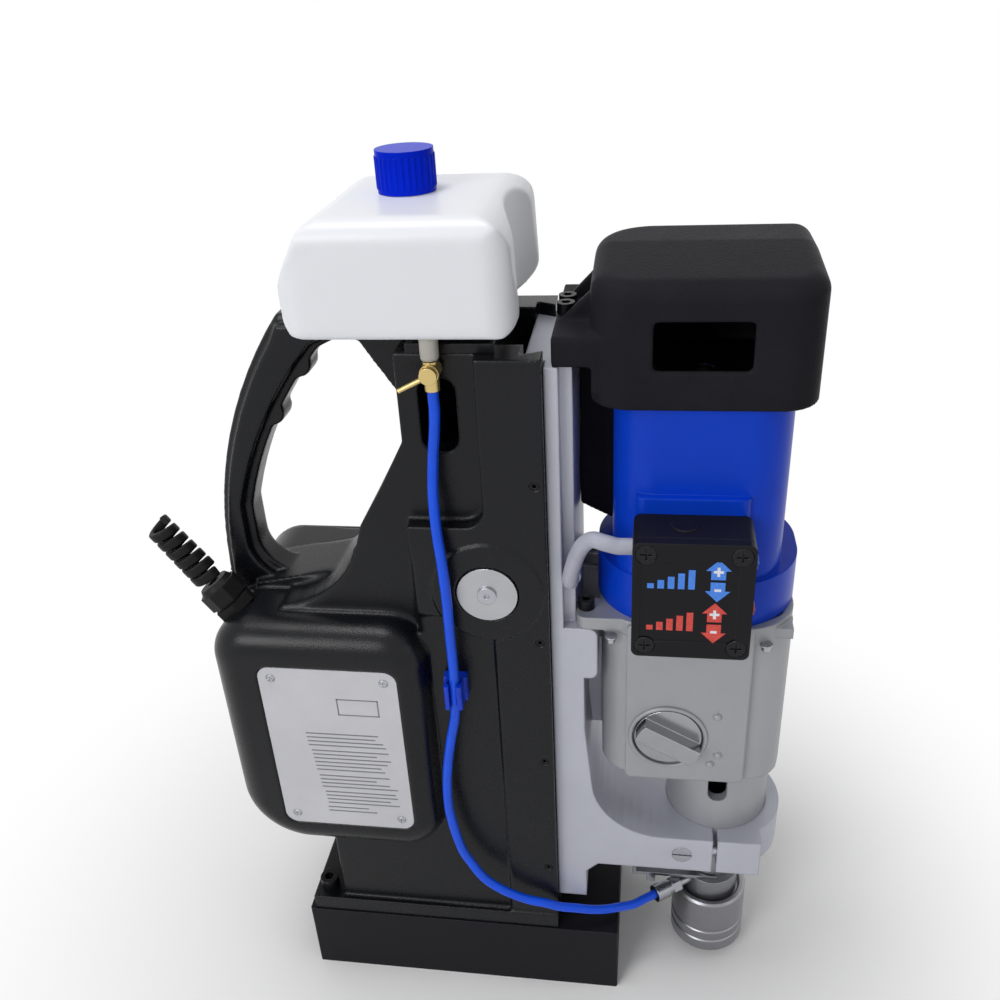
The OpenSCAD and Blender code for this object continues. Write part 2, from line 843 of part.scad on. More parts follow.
function corner_in(r) = r - (r - 6) * cos(45);
cover_corners = [
  [case_x0 + corner_in(case_low_r), case_z0 + corner_in(case_low_r)],
  [case_x1 - corner_in(case_r), case_z0 + corner_in(case_r)],
  [case_x0 + corner_in(case_r), case_z1 - corner_in(case_r)],
  [case_x1 - corner_in(case_r), case_z1 - corner_in(case_r)]
];

module cover_spots() {
  for (spot = cover_corners)
    translate([spot[0], switch_y, spot[1]])
      rotate([-90, 0, 0])
        children();
}

module switch_cover() {
  color("#232427")
    difference() {
      translate([case_x0 + 1, switch_y, case_z0 + 1])
        mirror([0, 1, 0])
          soft_block(case_x1 - case_x0 - 2, cover_t - seat_gap, case_h - 2, case_radii - [1, 1, 1, 1], 1);
      cover_spots()
        translate([0, 0, -cover_t - 1])
          cylinder(r = 2.2, h = cover_t + 2);
      cover_spots()
        translate([0, 0, -2.1])
          cylinder(r = 4.1, h = 3);
      for (spot = [start_spot, stop_spot])
        rod_y(button_r + pass_gap, case_far - 1, switch_y + 1, spot[0], spot[1]);
      block(rocker_spot[0] - 14.5, rocker_spot[0] + 14.5, case_far - 1, switch_y + 1, rocker_spot[1] - 11.5,
        rocker_spot[1] + 11.5);
    }
}

module cover_screws() {
  color("#3a3b3f")
    cover_spots()
      cross_screw(4, cover_t + 10, 2);
}

module control_board() {
  board_y = -case_near + case_wall + board_post;
  color("#2f6b3f")
    union() {
      plate(case_x0 + board_in, case_x1 - board_in, board_y, board_y + board_t,
            case_z0 + board_in, case_z1 - board_in, board_in);
      block(case_x0 + 40, case_x0 + 70, board_y + board_t - eps, board_y + 22, case_z0 + 40, case_z0 + 76);
      rod_y(11, board_y + board_t - eps, board_y + 30, case_x0 + 94, case_z0 + 60);
      block(case_x0 + 30, case_x0 + 96, board_y + board_t - eps, board_y + 12, case_z1 - 62, case_z1 - 44);
    }
}

module name_plate() {
  color("#c9c9ce")
    difference() {
      plate(plate_x0, plate_x1, -case_near + 0.6, -case_near + 0.6 + plate_t - seat_gap,
            plate_z0, plate_z1, plate_r);
      for (spot = plate_corners)
        rod_y(1.7, -case_near, -case_near + 3, spot[0], spot[1]);
    }
}

module plate_screws() {
  color("#b9bac0")
    for (spot = plate_corners)
      translate([spot[0], -case_near + 0.6 - seat_gap, spot[1]])
        rotate([90, 0, 0])
          difference() {
            union() {
              cylinder(r1 = 3, r2 = 2.2, h = 1);
              translate([0, 0, -4])
                cylinder(r = 1.5, h = 4 + eps);
            }
            for (turn = [0, 90])
              rotate(turn)
                block(-1.6, 1.6, -0.3, 0.3, 0.4, 1 + eps);
          }
}

// Feed

module gib_strip() {
  side = 0.1;
  color("#8d9095")
    translate([0, 0, slide_z0 + 30])
      linear_extrude(slide_l - 32)
        polygon([
          [col_x1 - 0.5, -mouth_y - side - 0.3], [col_x1 - dovetail_d + 0.5, -mouth_y - flare - side + 0.3],
          [col_x1 - dovetail_d + 0.5, -mouth_y - flare - gib_t + side + 0.3],
          [col_x1 - 0.5, -mouth_y - gib_t + side - 0.3]
        ]);
}

module gib_screws() {
  color("#3a3b3f")
    for (z = gib_screw_spots)
      difference() {
        rod_y(gib_screw_d / 2, -col_y + 0.8, gib_screw_end, col_x1 - dovetail_d / 2, z);
        translate([col_x1 - dovetail_d / 2, -col_y + 0.7, z])
          rotate([-90, 0, 0])
            cylinder(r = 1.4, h = 3, $fn = 6);
      }
}

module feed_bushes() {
  color("#b08d4a")
    for (y = [[-col_y + 2, -cavity_y - 1], [cavity_y + 1, col_y - 0.5]])
      difference() {
        rod_y(feed_shaft_d / 2 + bush_t, y[0], y[1], feed_x, feed_z);
        rod_y(feed_shaft_d / 2 + run_gap, y[0] - eps, y[1] + eps, feed_x, feed_z);
      }
}

module feed_shaft() {
  pinion_w = rack_w + 4;
  color("#9a9ca1")
    difference() {
      union() {
        rod_y(feed_shaft_d / 2, disc_y1 + seat_gap, hub_y1 - 4 - seat_gap, feed_x, feed_z);
        translate([feed_x, pinion_w / 2, feed_z])
          rotate([90, 0, 0])
            gear(rack_module, pinion_teeth, pinion_w, 0);
      }
      rod_y(3, -col_y - 1, -col_y + 16, feed_x, feed_z);
    }
}

module shaft_disc() {
  color("#b4b4b4")
    difference() {
      rod_y(disc_r, disc_y1 - disc_t, disc_y1, feed_x, feed_z);
      rod_y(3 + 0.2, disc_y1 - 8, disc_y1 + eps, feed_x, feed_z);
    }
}

module disc_screw() {
  disc_face = disc_y1 - disc_t - seat_gap;
  color("#a9aaad")
    difference() {
      union() {
        rod_y(5.4, disc_face - 1.6, disc_face, feed_x, feed_z);
        rod_y(3 - seat_gap, disc_face - eps, -col_y + 14, feed_x, feed_z);
      }
      translate([feed_x, disc_face - 1.7, feed_z])
        rotate([-90, 0, 0])
          cylinder(r = 1.8, h = 1.4, $fn = 6);
    }
}

module at_feed_arms() {
  for (turn = arm_turns)
    translate([feed_x, arm_y, feed_z])
      rotate([0, -arm_angle - turn, 0])
        rotate([0, 90, 0])
          children();
}

module feed_hub() {
  color("#1f2023")
    difference() {
      union() {
        rod_y(hub_r, hub_y0 + 10, hub_y1, feed_x, feed_z);
        rod_y(hub_r - 8, hub_y0, hub_y0 + 11, feed_x, feed_z);
      }
      rod_y(feed_shaft_d / 2 + seat_gap, hub_y0 - eps, hub_y1 - 4, feed_x, feed_z);
      at_feed_arms()
        translate([0, 0, hub_r - 12])
          cylinder(r = rod_d / 2 + seat_gap, h = 20);
    }
}

module feed_rods() {
  color("#9a9ca1")
    at_feed_arms()
      translate([0, 0, hub_r - 12])
        cylinder(r = rod_d / 2, h = arm_reach - hub_r - 40);
}

module feed_grips() {
  grip_low = 44;
  color("#1b1c1f")
    at_feed_arms()
      difference() {
        union() {
          translate([0, 0, grip_low])
            cylinder(r1 = grip_d / 2 - 5, r2 = grip_d / 2, h = arm_reach - grip_low - grip_d / 2);
          translate([0, 0, arm_reach - grip_d / 2])
            sphere(r = grip_d / 2);
        }
        translate([0, 0, grip_low - eps])
          cylinder(r = rod_d / 2 + seat_gap, h = arm_reach - 52 - grip_low + eps);
      }
}

// Slide

arm_sweep = 46;
slide_side = concat(
  [[slide_x0, slide_z0], [web_x1, slide_z0], [web_x1, arm_z0 - 8], [web_x1 + 8, arm_z0]],
  [[spindle_x - 20, arm_z0]],
  [[spindle_x - 20, arm_z1]],
  arc([web_x1 + arm_sweep + 4, arm_z1 + arm_sweep], arm_sweep, 270, 185, 10),
  [[web_x1, arm_z1 + 90], [web_x1, lug_z1 - lug_h], [slide_x1, lug_z1 - lug_h]],
  [[slide_x1, slide_z1], [slide_x0, slide_z1]]
);

module slide_casting() {
  tongue_x0 = col_x1 - dovetail_d + 0.3;
  tongue_x1 = slide_x0 + 1;
  color("#aaacb6")
    difference() {
      union() {
        side_form(slide_side, -slide_y, slide_y);
        block(slide_x0, spine_x1, -spine_y, spine_y, lug_z1 - lug_h, slide_z1);
        for (y = [-slide_y, slide_y - lug_w])
          plate(slide_x0, lug_x1, y, y + lug_w, lug_z1 - lug_h, lug_z1, 5);
        // Rib that stiffens the slide behind the gearbox
        block(slide_x1 - 1, box_x0 - duct_gap, -rib_t / 2, rib_t / 2, box_z0 + 5, lug_z1 - lug_h + 2);
        // Boss that takes in the control lead
        rod_y(5.5, lead_end[1], 1 - spine_y, lead_end[0], lead_end[2]);
        // Clamp ring and its flat pad
        rod_z(ring_d / 2, arm_z0, arm_z1, spindle_x, 0);
        block(spindle_x - 30, pad_x1, -slide_y, -slide_y + 14, arm_z0, arm_z1);
        // Dovetail tongue
        translate([0, 0, slide_z0])
          linear_extrude(slide_l)
            polygon([
              [tongue_x1, -mouth_y + 0.1], [col_x1, -mouth_y + 0.1], [tongue_x0, -mouth_y - flare + 0.3],
              [tongue_x0, mouth_y + flare - 0.3], [col_x1, mouth_y - 0.1], [tongue_x1, mouth_y - 0.1]
            ]);
      }
      rod_z(neck_r + seat_gap, arm_z0 - 1, arm_z1 + arm_sweep + 40, spindle_x, 0);
      block(slit_x - slit_w / 2, slit_x + slit_w / 2, -slide_y - 1, 0, arm_z0 - 1, arm_z1 + 1);
      // Screw holes
      for (side = [-1, 1])
        rod_z(lug_screw_d / 2 + seat_gap, lug_z1 - 24, lug_z1 + 1, lug_screw_x, side * lug_screw_y);
      for (side = [-1, 1])
        rod_z(hood_screw_d / 2 + seat_gap, slide_z1 - 20, slide_z1 + 1, hood_screw_x, side * hood_screw_y);
      rod_y(6.3 + seat_gap, -slide_y - 1, 8 - neck_r, slit_x - 21, arm_z0 + arm_h / 2);
      rod_z(2.5 + seat_gap, arm_z0 - 1, arm_z0 + 10.5, bracket_x0 + 8, 0);
      rod_x(3 + 0.3, slit_x - 13, pad_x1 + 1, -slide_y + 6, arm_z0 + arm_h / 2);
      rod_x(5.2, pad_x1 - 6, pad_x1 + 1, -slide_y + 6, arm_z0 + arm_h / 2);
    }
}

module feed_rack() {
  first = -ceil((travel_up + 22) / rack_pitch);
  last = ceil(22 / rack_pitch);
  tip_x = rack_x - tip_share * rack_module;
  root_x = rack_x + root_share * rack_module;
  half = rack_pitch / 4 - gear_gap / 2;
  root_half = half + root_share * rack_module * tan(20);
  tip_half = half - tip_share * rack_module * tan(20);
  back_x = col_x1 - dovetail_d + 0.3 - seat_gap;
  outline = concat(
    [[back_x, feed_z + first * rack_pitch]],
    [
      for (k = [first:last - 1])
        let (z = feed_z + (k + 0.5) * rack_pitch)
        for (p = [[root_x, -root_half], [tip_x, -tip_half], [tip_x, tip_half], [root_x, root_half]])
          [p[0], z + p[1]]
    ],
    [[back_x, feed_z + last * rack_pitch]]
  );
  color("#85888d")
    side_form(outline, -rack_w / 2, rack_w / 2);
}

module lug_screws() {
  color("#2a2b2e")
    for (side = [-1, 1])
      translate([lug_screw_x, side * lug_screw_y, flange_z1 + seat_gap])
        socket_screw(lug_screw_d, 26);
}

module neck_lock_screw() {
  color("#b9bac0")
    difference() {
      rod_y(6.3, -slide_y - 0.3, 4 - neck_r, slit_x - 21, arm_z0 + arm_h / 2);
      block(slit_x - 28, slit_x - 14, -slide_y - 1, -slide_y + 1,
            arm_z0 + arm_h / 2 - 0.7, arm_z0 + arm_h / 2 + 0.7);
    }
}

module clamp_screw() {
  color("#2a2b2e")
    translate([pad_x1 - 5.9, -slide_y + 6, arm_z0 + arm_h / 2])
      rotate([0, 90, 0])
        difference() {
          union() {
            cylinder(r = 5, h = 6);
            translate([0, 0, slit_x - 12 - pad_x1 + 5.9])
              cylinder(r = 3, h = pad_x1 - 5.9 - slit_x + 12 + eps);
          }
          translate([0, 0, 3])
            cylinder(r = 2.7, h = 6, $fn = 6);
        }
}

// Gearbox

module gearbox_housing() {
  bevel = 24;
  color("#a8aab4")
    difference() {
      union() {
        difference() {
          union() {
            slab(box_x0, box_x1, -box_y, box_y, box_z0, box_z1, 22);
            plate(face_x0, face_x1, -face_y, -box_y + 8, box_z0, box_z1 + flange_h, 4);
            rod_z(neck_r, neck_z0, box_z0 + 8, spindle_x, 0);
            slab(box_x0 - 1, box_x1, -face_y, face_y, box_z1 - 2, flange_z1, 30);
            for (side = [-1, 1])
              slab(spine_x1 + pass_gap, box_x0 + 24, side < 0 ? -slide_y : slide_y - lug_w + 2,
                side < 0 ? -slide_y + lug_w - 2 : slide_y, box_z1 + seat_gap, flange_z1, 6);
            for (d = dots)
              translate([knob_x + d[0], -face_y, knob_z + d[1]])
                sphere(r = dot_r);
          }
          // Gear room
          slab(box_x0 + box_wall, box_x1 - box_wall, -box_y + box_wall, box_y - box_wall, box_z0 + floor_t,
            flange_z1 + 1, 17);
          // Bevel under the front end
          translate([box_x1, 0, box_z0])
            rotate([0, 15, 0])
              block(-2, 12, -box_y - 8, box_y + 8, -10, bevel);
        }
        // Bridge that carries the motor's lower bearing and the layshaft's upper end
        block(box_x0 + 2, box_x1 - 2, -box_y + 2, box_y - 2, box_z1 - 1.5, box_z1 + 5);
      }
      rod_z(spindle_bearing_r + seat_gap, neck_z0 - 1, box_z0 + 1, spindle_x, 0);
      rod_z(spindle_r + 1.5, box_z0, box_z0 + floor_t + 1, spindle_x, 0);
      rod_z(lay_bearing_r + seat_gap, box_z1 - 3, box_z1 + 6, motor_x, 0);
      rod_z(lay_bearing_r + seat_gap, lay_bearing_z, box_z0 + floor_t + 1, lay_x, lay_y);
      rod_z(lay_bearing_r + seat_gap, box_z1 - 3, box_z1 + 6, lay_x, lay_y);
      for (side = [-1, 1])
        rod_z(lug_screw_d / 2 + 0.3, box_z1 - 1, flange_z1 + 1, lug_screw_x, side * lug_screw_y);
      // Knob seat and its shaft's bore
      rod_y(knob_r + 1.2, -face_y - 3, -face_y + knob_t + 0.3, knob_x, knob_z);
      rod_y(5 + run_gap, -face_y, -box_y + 12, knob_x, knob_z);
      // Window in the neck
      plate(slit_x - 6, slit_x + 6, -neck_r - 1, -spindle_r - 5, arm_z1 + 24, box_z0 - 8, 5.5);
    }
}

module gear_knob() {
  bar_turn = 29;
  color("#c4c5c8")
    union() {
      rod_y(knob_r, -face_y - 0.4, -face_y + knob_t, knob_x, knob_z);
      rod_y(5, -face_y + knob_t - eps, -box_y + 10, knob_x, knob_z);
      intersection() {
        translate([knob_x, 0, knob_z])
          rotate([0, bar_turn, 0])
            block(-knob_r, knob_r, -face_y - 9, -face_y, -6, 6);
        rod_y(knob_r - 0.5, -face_y - 10, -face_y + 1, knob_x, knob_z);
      }
    }
}

module bearing(r, bore, h) {
  difference() {
    cylinder(r = r, h = h);
    translate([0, 0, -eps])
      cylinder(r = bore, h = h + 2 * eps);
  }
}

module spindle_bearings() {
  color("#8d9095")
    for (z = [neck_z0 + 4, box_z0 + 1 - seat_gap - bearing_h])
      translate([spindle_x, 0, z])
        bearing(spindle_bearing_r, spindle_r + run_gap, bearing_h);
}

module drive_spindle() {
  color("#9a9ca1")
    difference() {
      union() {
        rod_z(spindle_r, neck_z0 - 0.5, box_z0 + 30, spindle_x, 0);
        translate([spindle_x, 0, second_z])
          gear(second_module, second_teeth[1], gear_h, second_dir + 180 + 180 / second_teeth[1]);
        rod_z(spindle_r - 3, box_z0 + 29, second_z + gear_h + 2, spindle_x, 0);
      }
      rod_z(5 + seat_gap, neck_z0 - 1, neck_z0 + 22, spindle_x, 0);
    }
}

module layshaft() {
  color("#8d9095")
    translate([lay_x, lay_y, 0])
      union() {
        translate([0, 0, lay_bearing_z + 1])
          cylinder(r = lay_shaft_r, h = box_z1 + 4 - lay_bearing_z);
        translate([0, 0, first_z])
          gear(first_module, first_teeth[1], gear_h, first_dir + 180 + 180 / first_teeth[1]);
        translate([0, 0, second_z])
          gear(second_module, second_teeth[0], gear_h, second_dir);
      }
}

module lay_bearings() {
  color("#85888d")
    for (z = [lay_bearing_z + seat_gap, box_z1 - 1.5])
      translate([lay_x, lay_y, z])
        bearing(lay_bearing_r, lay_shaft_r + run_gap, 6);
}

// Motor

module armature() {
  core_z0 = skirt_z1 + 18;
  color("#7d8086")
    translate([motor_x, 0, 0])
      union() {
        translate([0, 0, first_z])
          gear(first_module, first_teeth[0], gear_h, first_dir);
        translate([0, 0, first_z + gear_h - eps])
          cylinder(r = motor_shaft_r, h = motor_z1 - 2 - first_z - gear_h);
        translate([0, 0, core_z0])
          cylinder(r = core_r, h = core_h);
        translate([0, 0, core_z0 + core_h + 4])
          cylinder(r = 14, h = 18);
        // Fan
        translate([0, 0, skirt_z1 - 12])
          cylinder(r = 34, h = 2.5);
        for (turn = [0:30:330])
          rotate(turn)
            block(12, 33, -0.8, 0.8, skirt_z1 - 10, skirt_z1 - 1);
        translate([0, 0, skirt_z1 - 12])
          cylinder(r = 12.5, h = 14);
      }
}

module armature_bearings() {
  color("#85888d")
    for (z = [box_z1 - 1.5, motor_z1 - 11])
      translate([motor_x, 0, z])
        bearing(z < skirt_z1 ? lay_bearing_r : 11, motor_shaft_r + run_gap, z < skirt_z1 ? 6 : 8);
}

module stator() {
  color("#6a6d73")
    translate([motor_x, 0, stator_z0])
      bearing(stator_r, core_r + core_gap, stator_h);
}

module motor_casing() {
  color("#1a4bc4")
    difference() {
      union() {
        slab(motor_x - motor_l / 2, motor_x + motor_l / 2, -motor_w / 2, motor_w / 2,
             skirt_z1 - 1, motor_z1, 24);
        slab(motor_x + 1 - skirt_l / 2, motor_x + 1 + skirt_l / 2, -skirt_w / 2, skirt_w / 2,
             flange_z1 + seat_gap, skirt_z1, 44);
        slab(panel_x0 + 1, panel_x1 - 1, -face_y, 0, flange_z1 + seat_gap, pad_z1, 5);
      }
      // Hollow, closed at the top round the upper bearing
      slab(motor_x - motor_l / 2 + motor_wall, motor_x + motor_l / 2 - motor_wall, -motor_w / 2 + motor_wall,
        motor_w / 2 - motor_wall, flange_z1 - 1, motor_z1 - 12, 20);
      rod_z(11 + seat_gap, motor_z1 - 13, motor_z1 - 3, motor_x, 0);
      rod_z(motor_shaft_r + 1, motor_z1 - 4, motor_z1 + 1, motor_x, 0);
    }
  // Ribs that hold the stator
  color("#1a4bc4")
    for (turn = [0:90:270])
      intersection() {
        translate([motor_x, 0, stator_z0])
          rotate(turn)
            block(stator_r + seat_gap, max(motor_l, motor_w) / 2, -stator_rib_w / 2, stator_rib_w / 2,
                  0, stator_h);
        slab(motor_x - motor_l / 2 + 1, motor_x + motor_l / 2 - 1, -motor_w / 2 + 1, motor_w / 2 - 1,
             skirt_z1, motor_z1, 23);
      }
}

module motor_hood() {
  color("#252629")
    difference() {
      union() {
        translate([hood_x0, -hood_y, hood_z1])
          rotate([-90, 0, 0])
            soft_block(hood_l, hood_h, hood_w, hood_radii, hood_ease);
        block(strap_x0, hood_x0 + hood_wall, -slide_y, slide_y, slide_z1 + seat_gap, slide_z1 + strap_h);
        block(hood_x0 + 1, hood_x0 + hood_wall, -slide_y, slide_y,
              min(slide_z1 + seat_gap, hood_z0 + 6), max(slide_z1 + strap_h, hood_z0 + 6));
        for (y = [-20, 14])
          side_form([[strap_x0 + 2, slide_z1 + strap_h - 1], [hood_x0 + 12, slide_z1 + strap_h - 1],
            [hood_x0 + 12, hood_z1 - 12], [hood_x0 + 2, hood_z1 - 14]], y, y + 6);
        // Cable duct between slide and motor
        side_form([[spine_x1 + duct_gap, skirt_z1 + 18], [duct_x1, skirt_z1 + 8], [duct_x1, hood_z0 + 3],
          [spine_x1 + duct_gap, hood_z0 + 3]], duct_y0, duct_y0 + 24);
      }
      slab(hood_x0 + hood_wall, hood_x1 - hood_wall, -hood_y + hood_wall, hood_y - hood_wall,
           hood_z0 + 6, hood_z1 - 10, 16);
      slab(motor_x - motor_l / 2 - 0.2, motor_x + motor_l / 2 + 0.2, -motor_w / 2 - 0.2, motor_w / 2 + 0.2,
        hood_z0 - 1, hood_z0 + 7, 24);
      plate(window_x0, window_x0 + window_l, -hood_y - 1, -hood_y + hood_wall + 1,
            window_z0, window_z0 + window_h, 2);
      for (side = [-1, 1])
        rod_z(hood_screw_d / 2 + 0.3, slide_z1 - 1, slide_z1 + strap_h + 1,
              hood_screw_x, side * hood_screw_y);
    }
}

module hood_screws() {
  color("#2a2b2e")
    for (side = [-1, 1])
      translate([hood_screw_x, side * hood_screw_y, slide_z1 + strap_h + seat_gap])
        socket_screw(hood_screw_d, strap_h + 14);
}

// Control box

module wheel_pins() {
  for (z = wheel_spots)
    rod_y(wheel_pin_r, lid_y1 + 4, panel_y1 - panel_wall + eps, wheel_x, z);
}

module control_box() {
  color("#1d1e21")
    difference() {
      union() {
        difference() {
          plate(panel_x0, panel_x1, lid_y1 + seat_gap, panel_y1, panel_z0, panel_z1, 4);
          plate(panel_x0 + panel_wall, panel_x1 - panel_wall, lid_y1, panel_y1 - panel_wall,
                panel_z0 + panel_wall, panel_z1 - panel_wall, 2);
        }
        wheel_pins();
        for (spot = lid_corners)
          rod_y(3.6, lid_y1 + seat_gap, panel_y1 - 1, spot[0], spot[1]);
      }
      for (z = wheel_spots)
        block(panel_x1 - panel_wall - 0.2, panel_x1 + 1,
              wheel_y - wheel_t / 2 - 0.5, wheel_y + wheel_t / 2 + 0.5, z - wheel_r, z + wheel_r);
      for (spot = lid_corners)
        rod_y(1.8 + seat_gap, lid_y1 - 1, lid_y1 + 12, spot[0], spot[1]);
    }
}

module box_lid() {
  color("#222327")
    difference() {
      plate(panel_x0, panel_x1, panel_y0, lid_y1, panel_z0, panel_z1, 4);
      plate(panel_x0 + 4, panel_x1 - 8, panel_y0 - 1, panel_y0 + 0.6, panel_z0 + 10, panel_z1 - 10, 1.5);
      for (spot = lid_corners) {
        rod_y(2, panel_y0 - 1, lid_y1 + 1, spot[0], spot[1]);
        rod_y(lid_screw_r + 0.4, panel_y0 - 1, panel_y0 + 0.55 * lid_screw_r + 0.3, spot[0], spot[1]);
      }
    }
}

module lid_screws() {
  color("#17181a")
    for (spot = lid_corners)
      translate([spot[0], panel_y0 + 0.1, spot[1]])
        rotate([90, 0, 0])
          cross_screw(lid_screw_r, 16, 1.8);
}

module thumb_wheel(z) {
  difference() {
    union() {
      rod_y(wheel_r - 0.6, wheel_y - wheel_t / 2, wheel_y + wheel_t / 2, wheel_x, z);
      for (turn = [0:20:340])
        translate([wheel_x, wheel_y - wheel_t / 2, z])
          rotate([0, turn, 0])
            translate([wheel_r - 0.7, 0, 0])
              rotate([-90, 0, 0])
                cylinder(r = 0.7, h = wheel_t, $fn = 16);
    }
    rod_y(wheel_pin_r + run_gap, wheel_y - wheel_t, wheel_y + wheel_t, wheel_x, z);
  }
}

module speed_wheel() {
  color("#8a4632")
    thumb_wheel(wheel_spots[0]);
}

module power_wheel() {
  color("#8a4632")
    thumb_wheel(wheel_spots[1]);
}

module control_lead() {
  color("#b9bccb")
    tube(lead_curve, same(lead_curve, lead_d / 2), 10, [0, 0, 1]);
}

// Arbor

module arbor() {
  color("#6d6e72")
    difference() {
      union() {
        rod_z(arbor_r, arbor_z0, shoulder_z, spindle_x, 0);
        rod_z(arbor_neck_r, shoulder_z - eps, arbor_z1, spindle_x, 0);
        rod_z(chamber_r - run_gap, collar_z0, collar_z1, spindle_x, 0);
        rod_z(5, arbor_z1 - eps, neck_z0 + 20, spindle_x, 0);
      }
      rod_z(tool_bore_d / 2, arbor_z0 - 1, arbor_z0 + tool_bore_l, spindle_x, 0);
    }
}

module change_sleeve() {
  color("#5f6064")
    translate([spindle_x, 0, 0])
      rotate_extrude()
        polygon([
          [lip_r, sleeve_z1 - sleeve_top], [lip_r, sleeve_z1 - 1], [lip_r + 1, sleeve_z1],
          [sleeve_r - 1.5, sleeve_z1], [sleeve_r, sleeve_z1 - 1.5],
          [sleeve_r, sleeve_z0 + 23], [sleeve_r - 0.8, sleeve_z0 + 22],
          [sleeve_r - 0.8, sleeve_z0 + 20], [sleeve_r, sleeve_z0 + 19],
          [sleeve_r, sleeve_z0 + 14], [sleeve_r - 0.8, sleeve_z0 + 13],
          [sleeve_r - 0.8, sleeve_z0 + 11], [sleeve_r, sleeve_z0 + 10],
          [sleeve_r, sleeve_z0 + 1.5], [sleeve_r - 1.5, sleeve_z0],
          [chamber_r, sleeve_z0], [chamber_r, sleeve_z1 - sleeve_top]
        ]);
}

module sleeve_ring() {
  color("#75767a")
    translate([spindle_x, 0, sleeve_z0 + 0.5])
      bearing(chamber_r - seat_gap, arbor_r + run_gap, sleeve_ring_h);
}

// Curled wire: a straight lead at each end and whole turns between
function curl(r0, r1, pitch, turns, wire, steps) = concat(
  [[r0, 0, 0], [r0, 0, wire / 2], [r0, 0, wire]],
  [
    for (i = [1:turns * steps - 1])
      let (u = i / (turns * steps), r = r0 + (r1 - r0) * u)
      [r * cos(360 * i / steps), r * sin(360 * i / steps), wire + pitch * i / steps]
  ],
  [for (s = [0, wire / 2, wire]) [r1, 0, wire + pitch * turns + s]]
);
function least_gap(p, wire, skip) = min([
  for (i = [0:len(p) - 1])
    for (j = [i + skip:1:len(p) - 1])
      norm(p[i] - p[j]) - wire
]);
curl_steps = 8;

spring_turns = 4;
spring_room = collar_z0 - sleeve_z0 - 0.5 - sleeve_ring_h;
spring_pitch = (spring_room - 2 * spring_wire) / spring_turns;
spring_r = arbor_r + 3.1;
spring_path = curl(spring_r, spring_r, spring_pitch, spring_turns, spring_wire, curl_steps);
guard_path = curl(guard_r0, guard_r1, guard_pitch, guard_turns, guard_wire, curl_steps);
guard_last = len(guard_path) - 1;
guard_radii = [for (i = [0:guard_last]) (guard_wire + (guard_tip_wire - guard_wire) * i / guard_last) / 2];
echo(least_gap_of_spring = least_gap(spring_path, spring_wire, 6));
echo(least_gap_of_guard = least_gap(guard_path, guard_wire, 6));

module sleeve_spring() {
  color("#9a9ca1")
    translate([spindle_x, 0, sleeve_z0 + 0.5 + sleeve_ring_h])
      tube(spring_path, same(spring_path, spring_wire / 2), 6, [1, 0, 0]);
}

module along_nipple(from) {
  translate([spindle_x, 0, nipple_z])
    rotate([0, 90, nipple_turn])
      translate([0, 0, from])
        children();
}

module nipple_form(r, from, to) {
  along_nipple(from)
    cylinder(r = r, h = to - from);
}

module coolant_ring() {
  color("#77787c")
    difference() {
      rod_z(coolant_r, coolant_z0, coolant_z1, spindle_x, 0);
      rod_z(arbor_neck_r + run_gap, coolant_z0 - 1, coolant_z1 + 1, spindle_x, 0);
      nipple_form(3.5 + seat_gap, arbor_neck_r + 2, coolant_r + 5);
    }
}

module coolant_nipple() {
  hex_from = sleeve_r + 2;
  color("#b7b3a8")
    union() {
      nipple_form(3.5, arbor_neck_r + 2.2, hex_from + 0.5);
      along_nipple(hex_from)
        rotate(30)
          cylinder(r = 6.2, h = 6.5, $fn = 6);
      nipple_form(5, hex_from + 6, nipple_l - 6);
      nipple_form(6, nipple_l - 10, nipple_l);
    }
}

module ring_bracket() {
  low = coolant_z1 + seat_gap;
  half = 16;
  sheet = 2.5;
  color("#a9aaad")
    difference() {
      union() {
        block(bracket_x0, spindle_x + 4, -half, half, low, low + sheet);
        block(bracket_x0, bracket_x0 + sheet, -half, half, low, arm_z0 - seat_gap);
        block(bracket_x0, bracket_x0 + 16, -half, half, arm_z0 - sheet, arm_z0 - seat_gap);
        rod_z(2.5, arm_z0 - sheet, arm_z0 + 10, bracket_x0 + 8, 0);
        block(bracket_x0 + 10, bracket_x0 + 16, -half, sheet - half, low - 6, low + eps);
      }
      rod_z(arbor_neck_r + 1, low - 1, low + 4, spindle_x, 0);
    }
}

// Coolant tank

